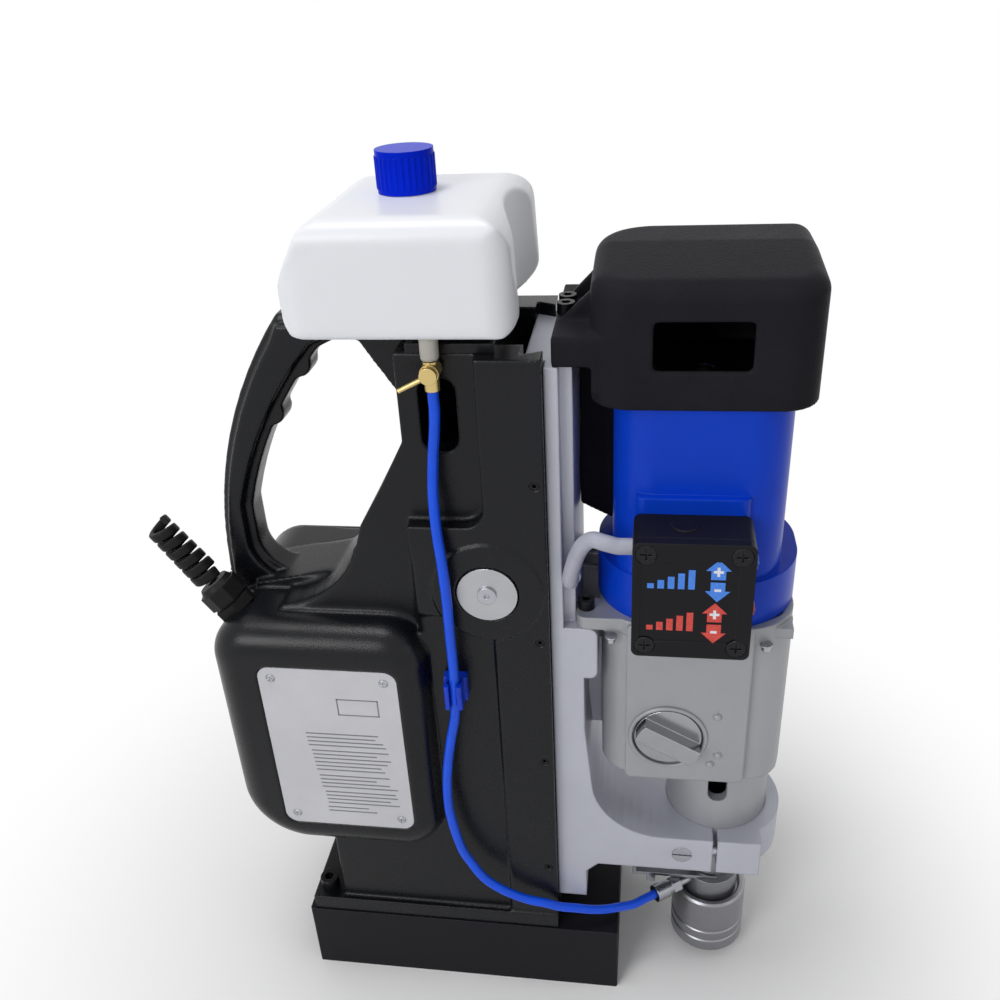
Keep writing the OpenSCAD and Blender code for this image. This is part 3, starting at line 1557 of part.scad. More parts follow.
module tank_form(room) {
  low = tank_z0 + room;
  high = tank_z1 - room;
  side = concat(
    [[tank_x0 + 14, low], [tank_x1 - 10, low]],
    arc([tank_x1 - 10, tank_z0 + 10], 10 - room, 280, 360, 4),
    [[tank_x1 - 1.5 - room, tank_z0 + 30]],
    arc([tank_x1 - 20, tank_z1 - 18], 18 - room, 10, 90, 5),
    [[tank_x0 + 27 + room / 2, high], [tank_x0 + 18 + room, tank_z1 - 4 - room]],
    [[tank_x0 + room, tank_z0 + 24], [tank_x0 + 2 + room, tank_z0 + 8 + room / 2]],
    [[tank_x0 + 6 + room, tank_z0 + 2.5 + room]]
  );
  intersection() {
    side_form(side, -tank_y, tank_y);
    translate([tank_x0, 0, 0])
      rotate([90, 0, 90])
        linear_extrude(tank_l)
          polygon(concat(
            arc([tank_y - tank_edge, tank_z1 - tank_edge], tank_edge - room, 0, 90, 6),
            arc([tank_near_edge - tank_y, tank_z1 - tank_near_edge], tank_near_edge - room, 90, 180, 6),
            arc([tank_low_edge - tank_y, tank_z0 + tank_low_edge], tank_low_edge - room, 180, 270, 3),
            arc([tank_y - tank_low_edge, tank_z0 + tank_low_edge], tank_low_edge - room, 270, 360, 3)
          ));
    difference() {
      slab(tank_x0 + room, tank_x1 - room, room - tank_y, tank_y - room, low, high, tank_corner - room);
      rod_z(notch_r + room, low - 1, high + 1, notch_x, 0);
    }
  }
}

module tank_saddle() {
  saddle_x1 = feed_x + 10;
  color("#2a2b2e")
    union() {
      block(col_x0 + 7, saddle_x1, -col_y + recess_d, col_y - recess_d, top_z + seat_gap, top_z + 5);
      block(col_x0 + 9, saddle_x1 - 4, -cavity_y, cavity_y, top_z + 4, tank_z0 - seat_gap);
      block(col_x0 + 12, saddle_x1 - 6, -cavity_y + 0.3, cavity_y - 0.3, top_z - 8, top_z + 4);
    }
}

module coolant_tank() {
  color([0.92, 0.93, 0.94, 0.85])
    difference() {
      union() {
        tank_form(0);
        rod_z(filler_r, tank_z1 - tank_wall, tank_z1 + filler_h, filler_x, 0);
        rod_z(5, outlet_z, tank_z0 + 4, outlet_x, outlet_y);
      }
      tank_form(tank_wall);
      rod_z(filler_r - 2, tank_z1 - tank_wall - 1, tank_z1 + filler_h + 1, filler_x, 0);
      rod_z(3, outlet_z - 1, tank_z0 + 5, outlet_x, outlet_y);
    }
}

module tank_cap() {
  rib_r = 1;
  color("#1236c8")
    difference() {
      union() {
        rod_z(cap_d / 2 - rib_r / 2, tank_z1 + pass_gap, tank_z1 + pass_gap + cap_h, filler_x, 0);
        for (turn = [0:12:348])
          translate([filler_x, 0, tank_z1 + pass_gap + 2])
            rotate(turn)
              translate([cap_d / 2 - rib_r, 0, 0])
                cylinder(r = rib_r, h = cap_h - 5, $fn = 16);
      }
      rod_z(filler_r + pass_gap, tank_z1, tank_z1 + filler_h + pass_gap + 1, filler_x, 0);
    }
}

module coolant_valve() {
  color("#c3a866")
    difference() {
      union() {
        rod_z(4, valve_low, outlet_z - seat_gap, outlet_x, outlet_y);
        rod_y(valve_r, outlet_y - 5.5, outlet_y + 4.5, outlet_x, valve_z);
      }
      rod_y(2.5 + run_gap, outlet_y - 6, outlet_y + 5, outlet_x, valve_z);
    }
}

module valve_lever() {
  color("#c8ad6a")
    union() {
      rod_y(2.5, outlet_y - 6, outlet_y + 4, outlet_x, valve_z);
      rod_y(valve_r - 0.5, outlet_y - 9, outlet_y - 5.9, outlet_x, valve_z);
      translate([outlet_x, outlet_y - 7.5, valve_z])
        rotate([0, -90 - lever_tilt, 0])
          cylinder(r = 1.4, h = lever_l);
    }
}

module coolant_hose() {
  color("#1558dc")
    tube(hose_curve, same(hose_curve, hose_d / 2), 10, [1, 0, 0]);
}

module hose_clip() {
  clip_out = hose_d / 2 + clip_jaw;
  color("#1646b8")
    difference() {
      union() {
        slab(clip_x - clip_out, clip_x + clip_out, clip_y - clip_out, sunk_d - col_y - seat_gap,
             clip_z - clip_h / 2, clip_z + clip_h / 2, 1.5);
        block(clip_x - clip_out - 1.5, clip_x + clip_out + 1.5, clip_y + clip_out - 1,
              sunk_d - col_y - seat_gap, clip_z - clip_h / 2, clip_z + clip_h / 2);
      }
      rod_z(hose_d / 2 + 0.9, clip_z - clip_h, clip_z + clip_h, clip_x, clip_y);
      block(clip_x - 0.4 * hose_d, clip_x + 0.4 * hose_d, clip_y - clip_out - 1, clip_y,
            clip_z - clip_h, clip_z + clip_h);
    }
}

// Cable gland

module at_gland() {
  translate([gland_x, gland_y, gland_z])
    rotate([0, -gland_tilt, 0])
      children();
}

module cable_gland() {
  color("#1a1b1d")
    at_gland()
      difference() {
        union() {
          translate([0, 0, gland_seat - 9])
            cylinder(r = 8, h = 10);
          translate([0, 0, gland_seat])
            cylinder(r = nut_r, h = collar_h, $fn = 6);
          translate([0, 0, gland_seat + collar_h - eps])
            cylinder(r = nut_r - 3, h = 2);
          translate([0, 0, gland_seat + collar_h + 1.5])
            cylinder(r = nut_r, h = nut_h - 5, $fn = 8);
          translate([0, 0, gland_seat + collar_h + nut_h - 4])
            cylinder(r1 = nut_r - 1.5, r2 = nut_r - 3.5, h = 4 - seat_gap);
        }
        translate([0, 0, gland_seat - 10])
          cylinder(r = 4, h = nut_h + collar_h + 12);
      }
}

module bend_guard() {
  color("#151618")
    at_gland()
      translate([0, 0, guard_base])
        tube(guard_path, guard_radii, 6, [1, 0, 0]);
}

// Switches

module push_button(spot) {
  rod_y(button_r, case_far - 6, switch_y + button_out, spot[0], spot[1]);
  rod_y(button_r + 2, case_far - 4, case_far - 0.05, spot[0], spot[1]);
}

module start_button() {
  color("#2c8a4b")
    push_button(start_spot);
}

module stop_button() {
  color("#b5252a")
    push_button(stop_spot);
}

module magnet_rocker() {
  rocker_l = 26;
  rocker_w = 21;
  color("#a3262b")
    translate([rocker_spot[0], rocker_y, rocker_spot[1]])
      rotate([0, 0, -rocker_tilt])
        intersection() {
          for (tilt = [0, 1])
            mirror([tilt, 0, 0])
              rotate([0, 0, rocker_tilt])
                block(-rocker_l, rocker_l, -5, 9, -rocker_w / 2, rocker_w / 2);
          block(-rocker_l / 2, rocker_l / 2, -6, 12, -rocker_w / 2, rocker_w / 2);
        }
  color("#a3262b")
    rod_z(2, rocker_spot[1] - 13, rocker_spot[1] + 13, rocker_spot[0], rocker_y);
}

magnet_foot();
magnet_coil();
foot_screws();
frame_casting();
switch_cover();
cover_screws();
control_board();
name_plate();
plate_screws();
gib_strip();
gib_screws();
feed_bushes();
feed_shaft();
shaft_disc();
disc_screw();
feed_hub();
feed_rods();
feed_grips();
slide_casting();
feed_rack();
lug_screws();
neck_lock_screw();
clamp_screw();
gearbox_housing();
gear_knob();
spindle_bearings();
drive_spindle();
layshaft();
lay_bearings();
armature();
armature_bearings();
stator();
motor_casing();
motor_hood();
hood_screws();
control_box();
box_lid();
lid_screws();
speed_wheel();
power_wheel();
control_lead();
arbor();
change_sleeve();
sleeve_ring();
sleeve_spring();
coolant_ring();
coolant_nipple();
ring_bracket();
tank_saddle();
coolant_tank();
tank_cap();
coolant_valve();
valve_lever();
coolant_hose();
hose_clip();
cable_gland();
bend_guard();
start_button();
stop_button();
magnet_rocker();
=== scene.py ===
import math

import bmesh
import bpy
import numpy as np
from mathutils import Matrix, Vector


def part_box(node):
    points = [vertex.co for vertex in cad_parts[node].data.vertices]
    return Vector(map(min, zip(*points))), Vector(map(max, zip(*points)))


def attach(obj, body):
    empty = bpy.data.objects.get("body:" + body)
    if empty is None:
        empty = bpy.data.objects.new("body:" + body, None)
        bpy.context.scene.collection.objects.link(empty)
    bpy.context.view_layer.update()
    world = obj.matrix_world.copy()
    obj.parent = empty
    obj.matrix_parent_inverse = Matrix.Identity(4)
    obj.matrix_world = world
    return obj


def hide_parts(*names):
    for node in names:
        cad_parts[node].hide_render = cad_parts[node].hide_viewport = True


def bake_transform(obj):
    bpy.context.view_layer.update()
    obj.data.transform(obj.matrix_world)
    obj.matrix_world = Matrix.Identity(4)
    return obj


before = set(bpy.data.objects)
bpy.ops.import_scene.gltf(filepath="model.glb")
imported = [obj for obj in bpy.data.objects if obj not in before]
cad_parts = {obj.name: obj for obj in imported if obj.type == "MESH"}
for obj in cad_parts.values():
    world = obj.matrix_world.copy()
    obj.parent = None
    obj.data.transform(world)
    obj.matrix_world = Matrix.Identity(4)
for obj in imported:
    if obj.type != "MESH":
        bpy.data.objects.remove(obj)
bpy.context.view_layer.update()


# Camera: a hand-held shot from a little above, looking down on the near side of the press.
# The lens, place and tilt were solved from the edges of the foot, column, gearbox and tank.
LENS_PIXELS = 992.2
FRAME_PIXELS = 1000
SENSOR = 36.0
CAMERA_PLACE = (0.1212, -0.5103, 0.6542)
YAW, PITCH, ROLL = (math.radians(a) for a in (9.45, 29.02, -3.32))
back = Vector((math.sin(YAW) * math.cos(PITCH), -math.cos(YAW) * math.cos(PITCH), math.sin(PITCH)))
level = Vector((math.cos(YAW), math.sin(YAW), 0))
upward = back.cross(level)
right = level * math.cos(ROLL) + upward * math.sin(ROLL)
above = upward * math.cos(ROLL) - level * math.sin(ROLL)
camera = bpy.data.objects.new("camera", bpy.data.cameras.new("camera"))
camera.data.sensor_width = SENSOR
camera.data.lens = LENS_PIXELS * SENSOR / FRAME_PIXELS
camera.data.clip_end = 100
camera.matrix_world = Matrix.Translation(CAMERA_PLACE) @ Matrix((right, above, back)).transposed().to_4x4()
bpy.context.collection.objects.link(camera)
bpy.context.scene.camera = camera
bpy.context.scene.view_settings.view_transform = "Standard"


# Floor and light: a plain pale floor that fades to white a little way out, one soft box overhead, one
# at the front left and a weak one at the right, as in a product shot.
class Wire:
    """A socket of a node tree; sums and products of sockets add their Math nodes."""

    def __init__(self, tree, socket=None):
        self.tree = tree
        self.socket = socket

    def node(self, kind, settings=None, inputs=None, out=0):
        """Any other node: its settings first, then a value, a wire or a list of wires for each input."""
        made = self.tree.nodes.new(kind)
        for name, value in (settings or {}).items():
            setattr(made, name, value)
        for name, value in (inputs or {}).items():
            if isinstance(value, (Wire, list)):
                for wire in value if isinstance(value, list) else [value]:
                    self.tree.links.new(wire.socket, made.inputs[name])
            else:
                made.inputs[name].default_value = value
        return Wire(self.tree, made.outputs[out] if made.outputs else None)

    def math(self, operation, first, second):
        return self.node("ShaderNodeMath", {"operation": operation}, {0: first, 1: second})

    def __add__(self, other):
        return self.math("ADD", self, other)

    __radd__ = __add__

    def __sub__(self, other):
        return self.math("SUBTRACT", self, other)

    def __rsub__(self, other):
        return self.math("SUBTRACT", other, self)

    def __mul__(self, other):
        return self.math("MULTIPLY", self, other)

    def clip(self):
        return self.node("ShaderNodeClamp", None, {"Value": self})

    def between(self, low, high):
        """0 below low, 1 above high, smooth in between."""
        return self.node("ShaderNodeMapRange", {"interpolation_type": "SMOOTHSTEP"},
                         {"Value": self, "From Min": low, "From Max": high})

    def mix(self, first, second):
        """A colour, first where this value is 0 and second where it is 1."""
        return self.node("ShaderNodeMix", {"data_type": "RGBA"}, {0: self, 6: first, 7: second}, out=2)


def colour(red, green, blue):
    """A screen colour, 0 to 255, as the linear value that a socket takes."""
    def linear(c):
        c = c / 255
        return c / 12.92 if c <= 0.04045 else ((c + 0.055) / 1.055) ** 2.4
    return (linear(red), linear(green), linear(blue), 1.0)


def empty_material(name):
    """A material with an empty tree, and a wire to build it with."""
    made = bpy.data.materials.new(name)
    made.use_nodes = True
    made.node_tree.nodes.clear()
    return made, Wire(made.node_tree)


def new_object(name, mesh):
    """Puts a mesh or a lamp into the scene."""
    made = bpy.data.objects.new(name, mesh)
    bpy.context.collection.objects.link(made)
    return made


def in_view(w):
    """1 for what the camera sees by itself, in a reflection or through clear plastic."""
    return (w.node("ShaderNodeLightPath", out="Is Camera Ray") + w.node("ShaderNodeLightPath", out="Is Glossy Ray")
            + w.node("ShaderNodeLightPath", out="Is Transmission Ray")).clip()


FLOOR_HALF = 20.0
FLOOR_TONE = 0.92
PRESS_MIDDLE = (0.03, 0, 0)
FADE_FROM, FADE_TO = 0.12, 0.50
floor_mesh = bpy.data.meshes.new("floor")
floor_mesh.from_pydata(
    [(-FLOOR_HALF, -FLOOR_HALF, 0), (FLOOR_HALF, -FLOOR_HALF, 0), (FLOOR_HALF, FLOOR_HALF, 0),
     (-FLOOR_HALF, FLOOR_HALF, 0)], [], [(0, 1, 2, 3)])
floor = new_object("floor", floor_mesh)
floor_paint, w = empty_material("floor_paint")
place = w.node("ShaderNodeTexCoord", out="Object")
from_press = w.node("ShaderNodeVectorMath", {"operation": "DISTANCE"}, {0: place, 1: PRESS_MIDDLE}, out="Value")
floor_body = w.node("ShaderNodeBsdfDiffuse", None, {"Color": (FLOOR_TONE, FLOOR_TONE, FLOOR_TONE, 1)})
white = w.node("ShaderNodeEmission", None, {"Color": (1, 1, 1, 1), "Strength": 1.0})
fade = from_press.between(FADE_FROM, FADE_TO) * in_view(w)
w.node("ShaderNodeOutputMaterial", None,
       {"Surface": w.node("ShaderNodeMixShader", None, {0: fade, 1: floor_body, 2: white})})
floor_mesh.materials.append(floor_paint)

world = bpy.data.worlds.new("studio")
bpy.context.scene.world = world
world.use_nodes = True
world.node_tree.nodes.clear()
w = Wire(world.node_tree)
WORLD_LEVEL = 0.36
w.node("ShaderNodeOutputWorld", None, {"Surface": w.node(
    "ShaderNodeBackground", None,
    {"Color": (1, 1, 1, 1), "Strength": WORLD_LEVEL + in_view(w) * (1 - WORLD_LEVEL)})})

for name, spot, aim, size, power in (
        ("overhead", (-0.25, -0.15, 1.9), (0.03, 0, 0.25), 0.6, 10.5),
        ("front_left", (-0.8, -1.5, 1.1), (0.05, 0, 0.25), 0.8, 13.0),
        ("right_side", (1.7, -0.9, 0.9), (0.10, 0, 0.25), 0.7, 0.8)):
    lamp = bpy.data.lights.new(name, "AREA")
    lamp.shape = "SQUARE"
    lamp.size = size
    lamp.energy = power
    holder = new_object(name, lamp)
    holder.location = spot
    holder.rotation_euler = (Vector(aim) - Vector(spot)).to_track_quat("-Z", "Y").to_euler()


# Coolant hose: a soft blue tube pushed over the valve's outlet, held by a clip on the column, and
# pushed over the nipple of the coolant ring.
def smooth_path(points, steps):
    """A Catmull-Rom curve in metres through points in millimetres."""
    points = [Vector(p) / 1000 for p in points]
    curve = []
    for i in range(len(points) - 1):
        a, b, c, d = (points[max(0, min(k, len(points) - 1))] for k in (i - 1, i, i + 1, i + 2))
        for j in range(steps):
            t = j / steps
            curve.append(0.5 * (2 * b + (c - a) * t + (2 * a - 5 * b + 4 * c - d) * t * t
                                + (3 * b - 3 * c + d - a) * t ** 3))
    return curve + [points[-1]]


def path_length(points):
    """The length of a run of points."""
    return sum((b - a).length for a, b in zip(points, points[1:]))


def tube(name, points, radius, sides, material):
    """A round tube along the points, closed at both ends, with a UV map round and along it."""
    mesh = bpy.data.meshes.new(name)
    verts, faces, along, walked = [], [], [], 0.0
    across = Vector((1, 0, 0)) if abs((points[1] - points[0]).normalized().x) < 0.9 else Vector((0, 1, 0))
    for i, p in enumerate(points):
        before, after = points[max(i - 1, 0)], points[min(i + 1, len(points) - 1)]
        heading = (after - before).normalized()
        across = (across - heading * across.dot(heading)).normalized()
        other = heading.cross(across)
        walked += (p - before).length
        along.append(walked)
        for k in range(sides):
            turn = 2 * math.pi * k / sides
            verts.append(p + radius * (math.cos(turn) * across + math.sin(turn) * other))
    rings = len(points)
    for i in range(rings - 1):
        for k in range(sides):
            n = (k + 1) % sides
            faces.append((i * sides + k, i * sides + n, (i + 1) * sides + n, (i + 1) * sides + k))
    faces.append(tuple(reversed(range(sides))))
    faces.append(tuple(range((rings - 1) * sides, rings * sides)))
    mesh.from_pydata(verts, [], faces)
    uv = mesh.uv_layers.new(name="along")
    for poly in mesh.polygons:
        poly.use_smooth = len(poly.vertices) == 4
        ring_turns = [v % sides for v in poly.vertices]
        for loop, vert in zip(poly.loop_indices, poly.vertices):
            turn = vert % sides
            if turn == 0 and sides - 1 in ring_turns:
                turn = sides
            uv.data[loop].uv = (turn / sides, along[vert // sides])
    mesh.materials.append(material)
    return new_object(name, mesh)


LINE_DRAW = (26, 14, 1)
DUST_SCALE = 90.0


def tubing(name, tone, rough, streak):
    """Soft extruded plastic: faint lines along the tube, dust, a soft gloss."""
    made, w = empty_material(name)
    uv = w.node("ShaderNodeUVMap", {"uv_map": "along"})
    lines = w.node("ShaderNodeTexNoise", None, {
        "Vector": w.node("ShaderNodeVectorMath", {"operation": "MULTIPLY"}, {0: uv, 1: LINE_DRAW}),
        "Scale": 1.0, "Detail": 3.0})
    place = w.node("ShaderNodeTexCoord", out="Object")
    dust = w.node("ShaderNodeTexNoise", None, {"Vector": place, "Scale": DUST_SCALE, "Detail": 5.0})
    pale = tuple(min(1.0, c * 1.18 + 0.004) for c in tone[:3]) + (1,)
    deep = tuple(c * 0.85 for c in tone[:3]) + (1,)
    body = (lines.between(0.35, 0.7) * streak + dust.between(0.3, 0.8) * 0.35).clip().mix(deep, pale)
    shader = w.node("ShaderNodeBsdfPrincipled", None, {
        "Base Color": body, "Roughness": rough + dust.between(0.4, 0.75) * 0.16, "Specular IOR Level": 0.3,
        "Normal": w.node("ShaderNodeBump", None, {"Height": lines, "Strength": 0.12, "Distance": 0.0006})})
    w.node("ShaderNodeOutputMaterial", None, {"Surface": shader})
    return made


HOSE_D = 0.006
hose_route = smooth_path([
    (13, -50, 458.98), (13, -50, 453), (13, -50, 447), (12, -50, 436), (10, -51, 419), (9, -54, 400),
    (10, -58, 380), (12, -61, 360), (13, -62, 337), (13, -62, 313), (13, -61, 287), (12, -60, 268),
    (11, -60, 250), (7, -61, 230), (3, -62, 203), (2, -62, 173), (7, -62, 141), (13, -62, 126),
    (21, -62, 112), (31, -62, 103), (41, -61, 96), (51, -60, 91), (61, -59, 88), (71, -57, 83),
    (81, -54, 79), (91, -51, 75), (101, -47, 71.5), (111, -41.7, 68.4), (120.23, -37.23, 66.7),
    (127.63, -32.11, 66.7), (135.02, -27, 66.7)], steps=5)
hose = tube("coolant_hose_tube", hose_route, radius=HOSE_D / 2, sides=16,
            material=tubing("hose_blue_tubing", colour(6, 82, 232), rough=0.3, streak=0.3))
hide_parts("coolant_hose")
path_length(hose_route)
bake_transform(hose)


# Control lead: the short grey lead between control box and slide, the wheels' wires in a soft plastic
# jacket. It rises and falls with the slide.
LEAD_D = 0.009
lead_route = smooth_path([
    (115.98, -64.02, 377), (112, -64.02, 377), (108, -64.02, 377), (101, -63.5, 378.5), (95, -61.5, 379),
    (90.5, -59, 375), (87, -56, 368), (84.5, -53.5, 360), (82.5, -51.5, 352), (81.5, -50.5, 346),
    (81.5, -46.5, 342), (81.5, -44, 342), (81.5, -41.52, 342)], steps=6)
lead = tube("control_lead_jacket", lead_route, radius=LEAD_D / 2, sides=18,
            material=tubing("lead_grey_jacket", colour(176, 178, 192), rough=0.5, streak=0.25))
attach(lead, "slide")
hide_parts("control_lead")
path_length(lead_route)


# Magnet foot: a block of steel with a coil wound inside it, machined all over and painted satin
# black, screwed up into the column's flange with socket screws.
DRIFT_SCALE, CHIP_SCALE = 22.0, 260.0
TONE_STEP = 0.0003


def finish(name, tone, rough, grain=0.0006, depth=0.15, patch=0.12, edge=None, edge_wear_and_highlight=0.0, metal=0.0,
           round_off=0.0009, stretch=(1, 1, 1), lathe=None, gloss=0.4, above=None):
    """A hard surface: grain in relief, drifting tone and gloss, rounded edges painted paler, partly as wear and
    partly as a painted highlight.

    grain is the size of the texture in metres and depth its strength. stretch draws it out into
    tool marks, and lathe = (point, axis) turns it into the rings that a lathe leaves. edge is the
    pale tone along the edges, partly bare wear and partly a painted highlight. above = (height, tone)
    changes the tone over a height.
    """
    made, w = empty_material(name)
    place = w.node("ShaderNodeTexCoord", out="Object")
    if lathe:
        centre, axis = lathe
        arm = w.node("ShaderNodeVectorMath", {"operation": "SUBTRACT"}, {0: place, 1: centre})
        along = w.node("ShaderNodeVectorMath", {"operation": "DOT_PRODUCT"}, {0: arm, 1: axis}, out="Value")
        sweep = w.node("ShaderNodeVectorMath", {"operation": "CROSS_PRODUCT"}, {0: arm, 1: axis})
        reach = w.node("ShaderNodeVectorMath", {"operation": "LENGTH"}, {0: sweep}, out="Value")
        drawn = w.node("ShaderNodeCombineXYZ", None, {"X": reach, "Y": along})
    else:
        drawn = w.node("ShaderNodeMapping", None, {"Vector": place, "Scale": stretch})
    fine = w.node("ShaderNodeTexNoise", None, {"Vector": drawn, "Scale": 1 / grain, "Detail": 2.5})
    wide = w.node("ShaderNodeTexNoise", None, {
        "Vector": place, "Scale": DRIFT_SCALE, "Detail": 5.0, "Roughness": 0.6})
    soft = w.node("ShaderNodeBevel", {"samples": 6}, {"Radius": round_off})
    flat = w.node("ShaderNodeNewGeometry", out="Normal")
    bend = 1 - w.node("ShaderNodeVectorMath", {"operation": "DOT_PRODUCT"}, {0: soft, 1: flat}, out="Value")
    chips = w.node("ShaderNodeTexNoise", None, {"Vector": place, "Scale": CHIP_SCALE, "Detail": 3.0})
    # Paler rounded edges: partly wear, partly a painted highlight along the edges.
    worn_and_highlit = (bend * 4 - chips * 1.1 - wide * 0.6).between(-0.15, 0.25) * edge_wear_and_highlight
    deep = tuple(c * (1 - patch) for c in tone[:3]) + (1,)
    pale = tuple(min(1.0, c * (1 + patch)) for c in tone[:3]) + (1,)
    body = (wide.between(0.3, 0.7) * 0.7 + fine * 0.3).mix(deep, pale)
    if above:
        height = w.node("ShaderNodeSeparateXYZ", None, {"Vector": place}, out="Z")
        body = height.between(above[0] - TONE_STEP, above[0] + TONE_STEP).mix(body, above[1])
    body = worn_and_highlit.mix(body, edge or pale)
    shader = w.node("ShaderNodeBsdfPrincipled", None, {
        "Base Color": body, "Metallic": metal, "Specular IOR Level": gloss,
        "Roughness": (rough + (wide - 0.5) * 0.2 + (fine - 0.5) * 0.12 - worn_and_highlit * 0.1).clip(),
        "Normal": w.node("ShaderNodeBump", None, {
            "Height": fine, "Strength": depth, "Distance": grain * 0.6, "Normal": soft})})
    w.node("ShaderNodeOutputMaterial", None, {"Surface": shader})
    return made


def dress(material, *nodes):
    """Gives CAD nodes a finish; their meshes stay as they are."""
    for node in nodes:
        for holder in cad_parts[node].material_slots:
            holder.material = material


# Pale edge tone of the black finishes: partly bare metal where worn, partly a painted highlight.
WORN_AND_HIGHLIT_EDGE = colour(120, 121, 126)
dress(finish("foot_satin_black", colour(20, 20, 25), 0.5, grain=0.0011, depth=0.10, edge=WORN_AND_HIGHLIT_EDGE, edge_wear_and_highlight=0.35,
             round_off=0.0010, gloss=0.14), "magnet_foot")
dress(finish("wound_copper", colour(176, 104, 58), 0.35, grain=0.0009, depth=0.5, metal=1.0, stretch=(1, 1, 0.1)),
      "magnet_coil")
black_screw = finish("blackened_screw", colour(26, 26, 29), 0.38, grain=0.0005, metal=0.6,
                     edge=colour(120, 120, 124), edge_wear_and_highlight=0.6, round_off=0.0005)
bright_screw = finish("zinc_screw", colour(168, 170, 176), 0.28, grain=0.0005, metal=1.0,
                      edge=colour(215, 216, 220), edge_wear_and_highlight=0.5, round_off=0.0005)
dress(black_screw, "foot_screws")


# Column and case: one aluminium casting with the carrying handle, sand-textured by a black powder
# coat whose edges are painted a little pale: partly wear where hands and benches reach, partly a painted highlight.
EASE_EDGE = 0.010
EASE_STEPS = 10


def cast_skin(name, node, voxel, rounds, keep, material, body, eased=(), lean=None):
    """A casting with its edges and inside corners rounded off, in place of the CAD solid.

    voxel is the size of the skin's cells, rounds how often it is smoothed and keep the share of its
    faces that stays. eased lists (low corner, high corner, rounds): places that flow more softly.
    lean moves the points of the form before that: a function of an array of points.
    """
    work = bmesh.new()
    work.from_mesh(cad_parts[node].data)
    bmesh.ops.remove_doubles(work, verts=work.verts, dist=1e-6)
    mesh = bpy.data.meshes.new(name + "_rough")
    work.to_mesh(mesh)
    work.free()
    rough = new_object(name + "_rough", mesh)
    shell = rough.modifiers.new("shell", "REMESH")
    shell.mode = "VOXEL"
    shell.voxel_size = voxel
    fine = bpy.data.meshes.new_from_object(rough.evaluated_get(bpy.context.evaluated_depsgraph_get()))
    rough.modifiers.clear()
    rough.data = fine
    ease = rough.modifiers.new("ease", "SMOOTH")
    ease.factor = 0.5
    ease.iterations = rounds
    spots = np.empty(len(fine.vertices) * 3)
    fine.vertices.foreach_get("co", spots)
    spots = spots.reshape(-1, 3)
    if lean:
        spots = lean(spots)
        fine.vertices.foreach_set("co", spots.ravel())
        fine.update()
    for number, (low, high, more) in enumerate(eased):
        group = rough.vertex_groups.new(name="eased_%d" % number)
        inside = np.minimum(spots - np.array(low), np.array(high) - spots).min(axis=1)
        share = np.clip(inside / EASE_EDGE, 0, 1)
        for step in range(1, EASE_STEPS + 1):
            chosen = np.nonzero(np.ceil(share * EASE_STEPS) == step)[0]
            group.add([int(i) for i in chosen], step / EASE_STEPS, "REPLACE")
        flow = rough.modifiers.new("flow_%d" % number, "SMOOTH")
        flow.factor = 0.5
        flow.iterations = more
        flow.vertex_group = group.name
    thin = rough.modifiers.new("thin", "DECIMATE")
    thin.ratio = keep
    made = bpy.data.meshes.new_from_object(rough.evaluated_get(bpy.context.evaluated_depsgraph_get()))
    bpy.data.objects.remove(rough)
    made.name = name
    for poly in made.polygons:
        poly.use_smooth = True
    made.materials.clear()
    made.materials.append(material)
    piece = new_object(name, made)
    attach(piece, body)
    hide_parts(node)
    return piece


powder = finish("black_powder_coat", colour(14, 15, 19), 0.27, grain=0.0008, depth=0.28, patch=0.14,
                edge=WORN_AND_HIGHLIT_EDGE, edge_wear_and_highlight=0.4, round_off=0.0012, gloss=0.24)
NEAR_SHOULDER = ((-0.090, -0.080, 0.284), (0.004, -0.008, 0.360), 45)
FAR_SHOULDER = ((-0.090, 0.008, 0.284), (0.004, 0.070, 0.360), 45)
HANDLE_BOW = ((-0.160, -0.030, 0.322), (-0.030, 0.030, 0.500), 30)
cast_skin("frame_casting_skin", "frame_casting", voxel=0.0010, rounds=2, keep=0.20, material=powder, body="frame",
          eased=(NEAR_SHOULDER, FAR_SHOULDER, HANDLE_BOW))


# Switch cover: a flat die-cast lid on the far side of the case, in the same coat, with a screw at each
# corner. Behind it sits the board that feeds the coil and the motor.
dress(powder, "switch_cover")
dress(bright_screw, "cover_screws")
dress(finish("board_resin", colour(38, 92, 60), 0.4, grain=0.0012, depth=0.2), "control_board")


# Name plate: a thin anodised sheet with rounded corners, held by four small screws. Its print is
# only plain grey rules, rows of them in blocks, and one empty field.
dress(finish("plate_anodised", colour(196, 196, 201), 0.42, grain=0.0004, depth=0.06, patch=0.05, metal=0.25,
             edge=colour(225, 225, 228), edge_wear_and_highlight=0.4, stretch=(1, 1, 0.08), round_off=0.0004), "name_plate")
dress(bright_screw, "plate_screws")


INK_SCALE = 900.0


def ink(name, tone):
    """Screen-printed ink: a thin matt film, a little uneven where it was drawn over the sheet."""
    made, w = empty_material(name)
    place = w.node("ShaderNodeTexCoord", out="Object")
    film = w.node("ShaderNodeTexNoise", None, {"Vector": place, "Scale": INK_SCALE, "Detail": 3.0})
    thin = tuple(min(1.0, c * 1.18 + 0.01) for c in tone[:3]) + (1,)
    shader = w.node("ShaderNodeBsdfPrincipled", None, {
        "Base Color": film.between(0.35, 0.75).mix(tone, thin), "Roughness": 0.5 + film * 0.2,
        "Specular IOR Level": 0.3})
    w.node("ShaderNodeOutputMaterial", None, {"Surface": shader})
    return made


plate_ink = ink("plate_grey_ink", colour(118, 119, 126))


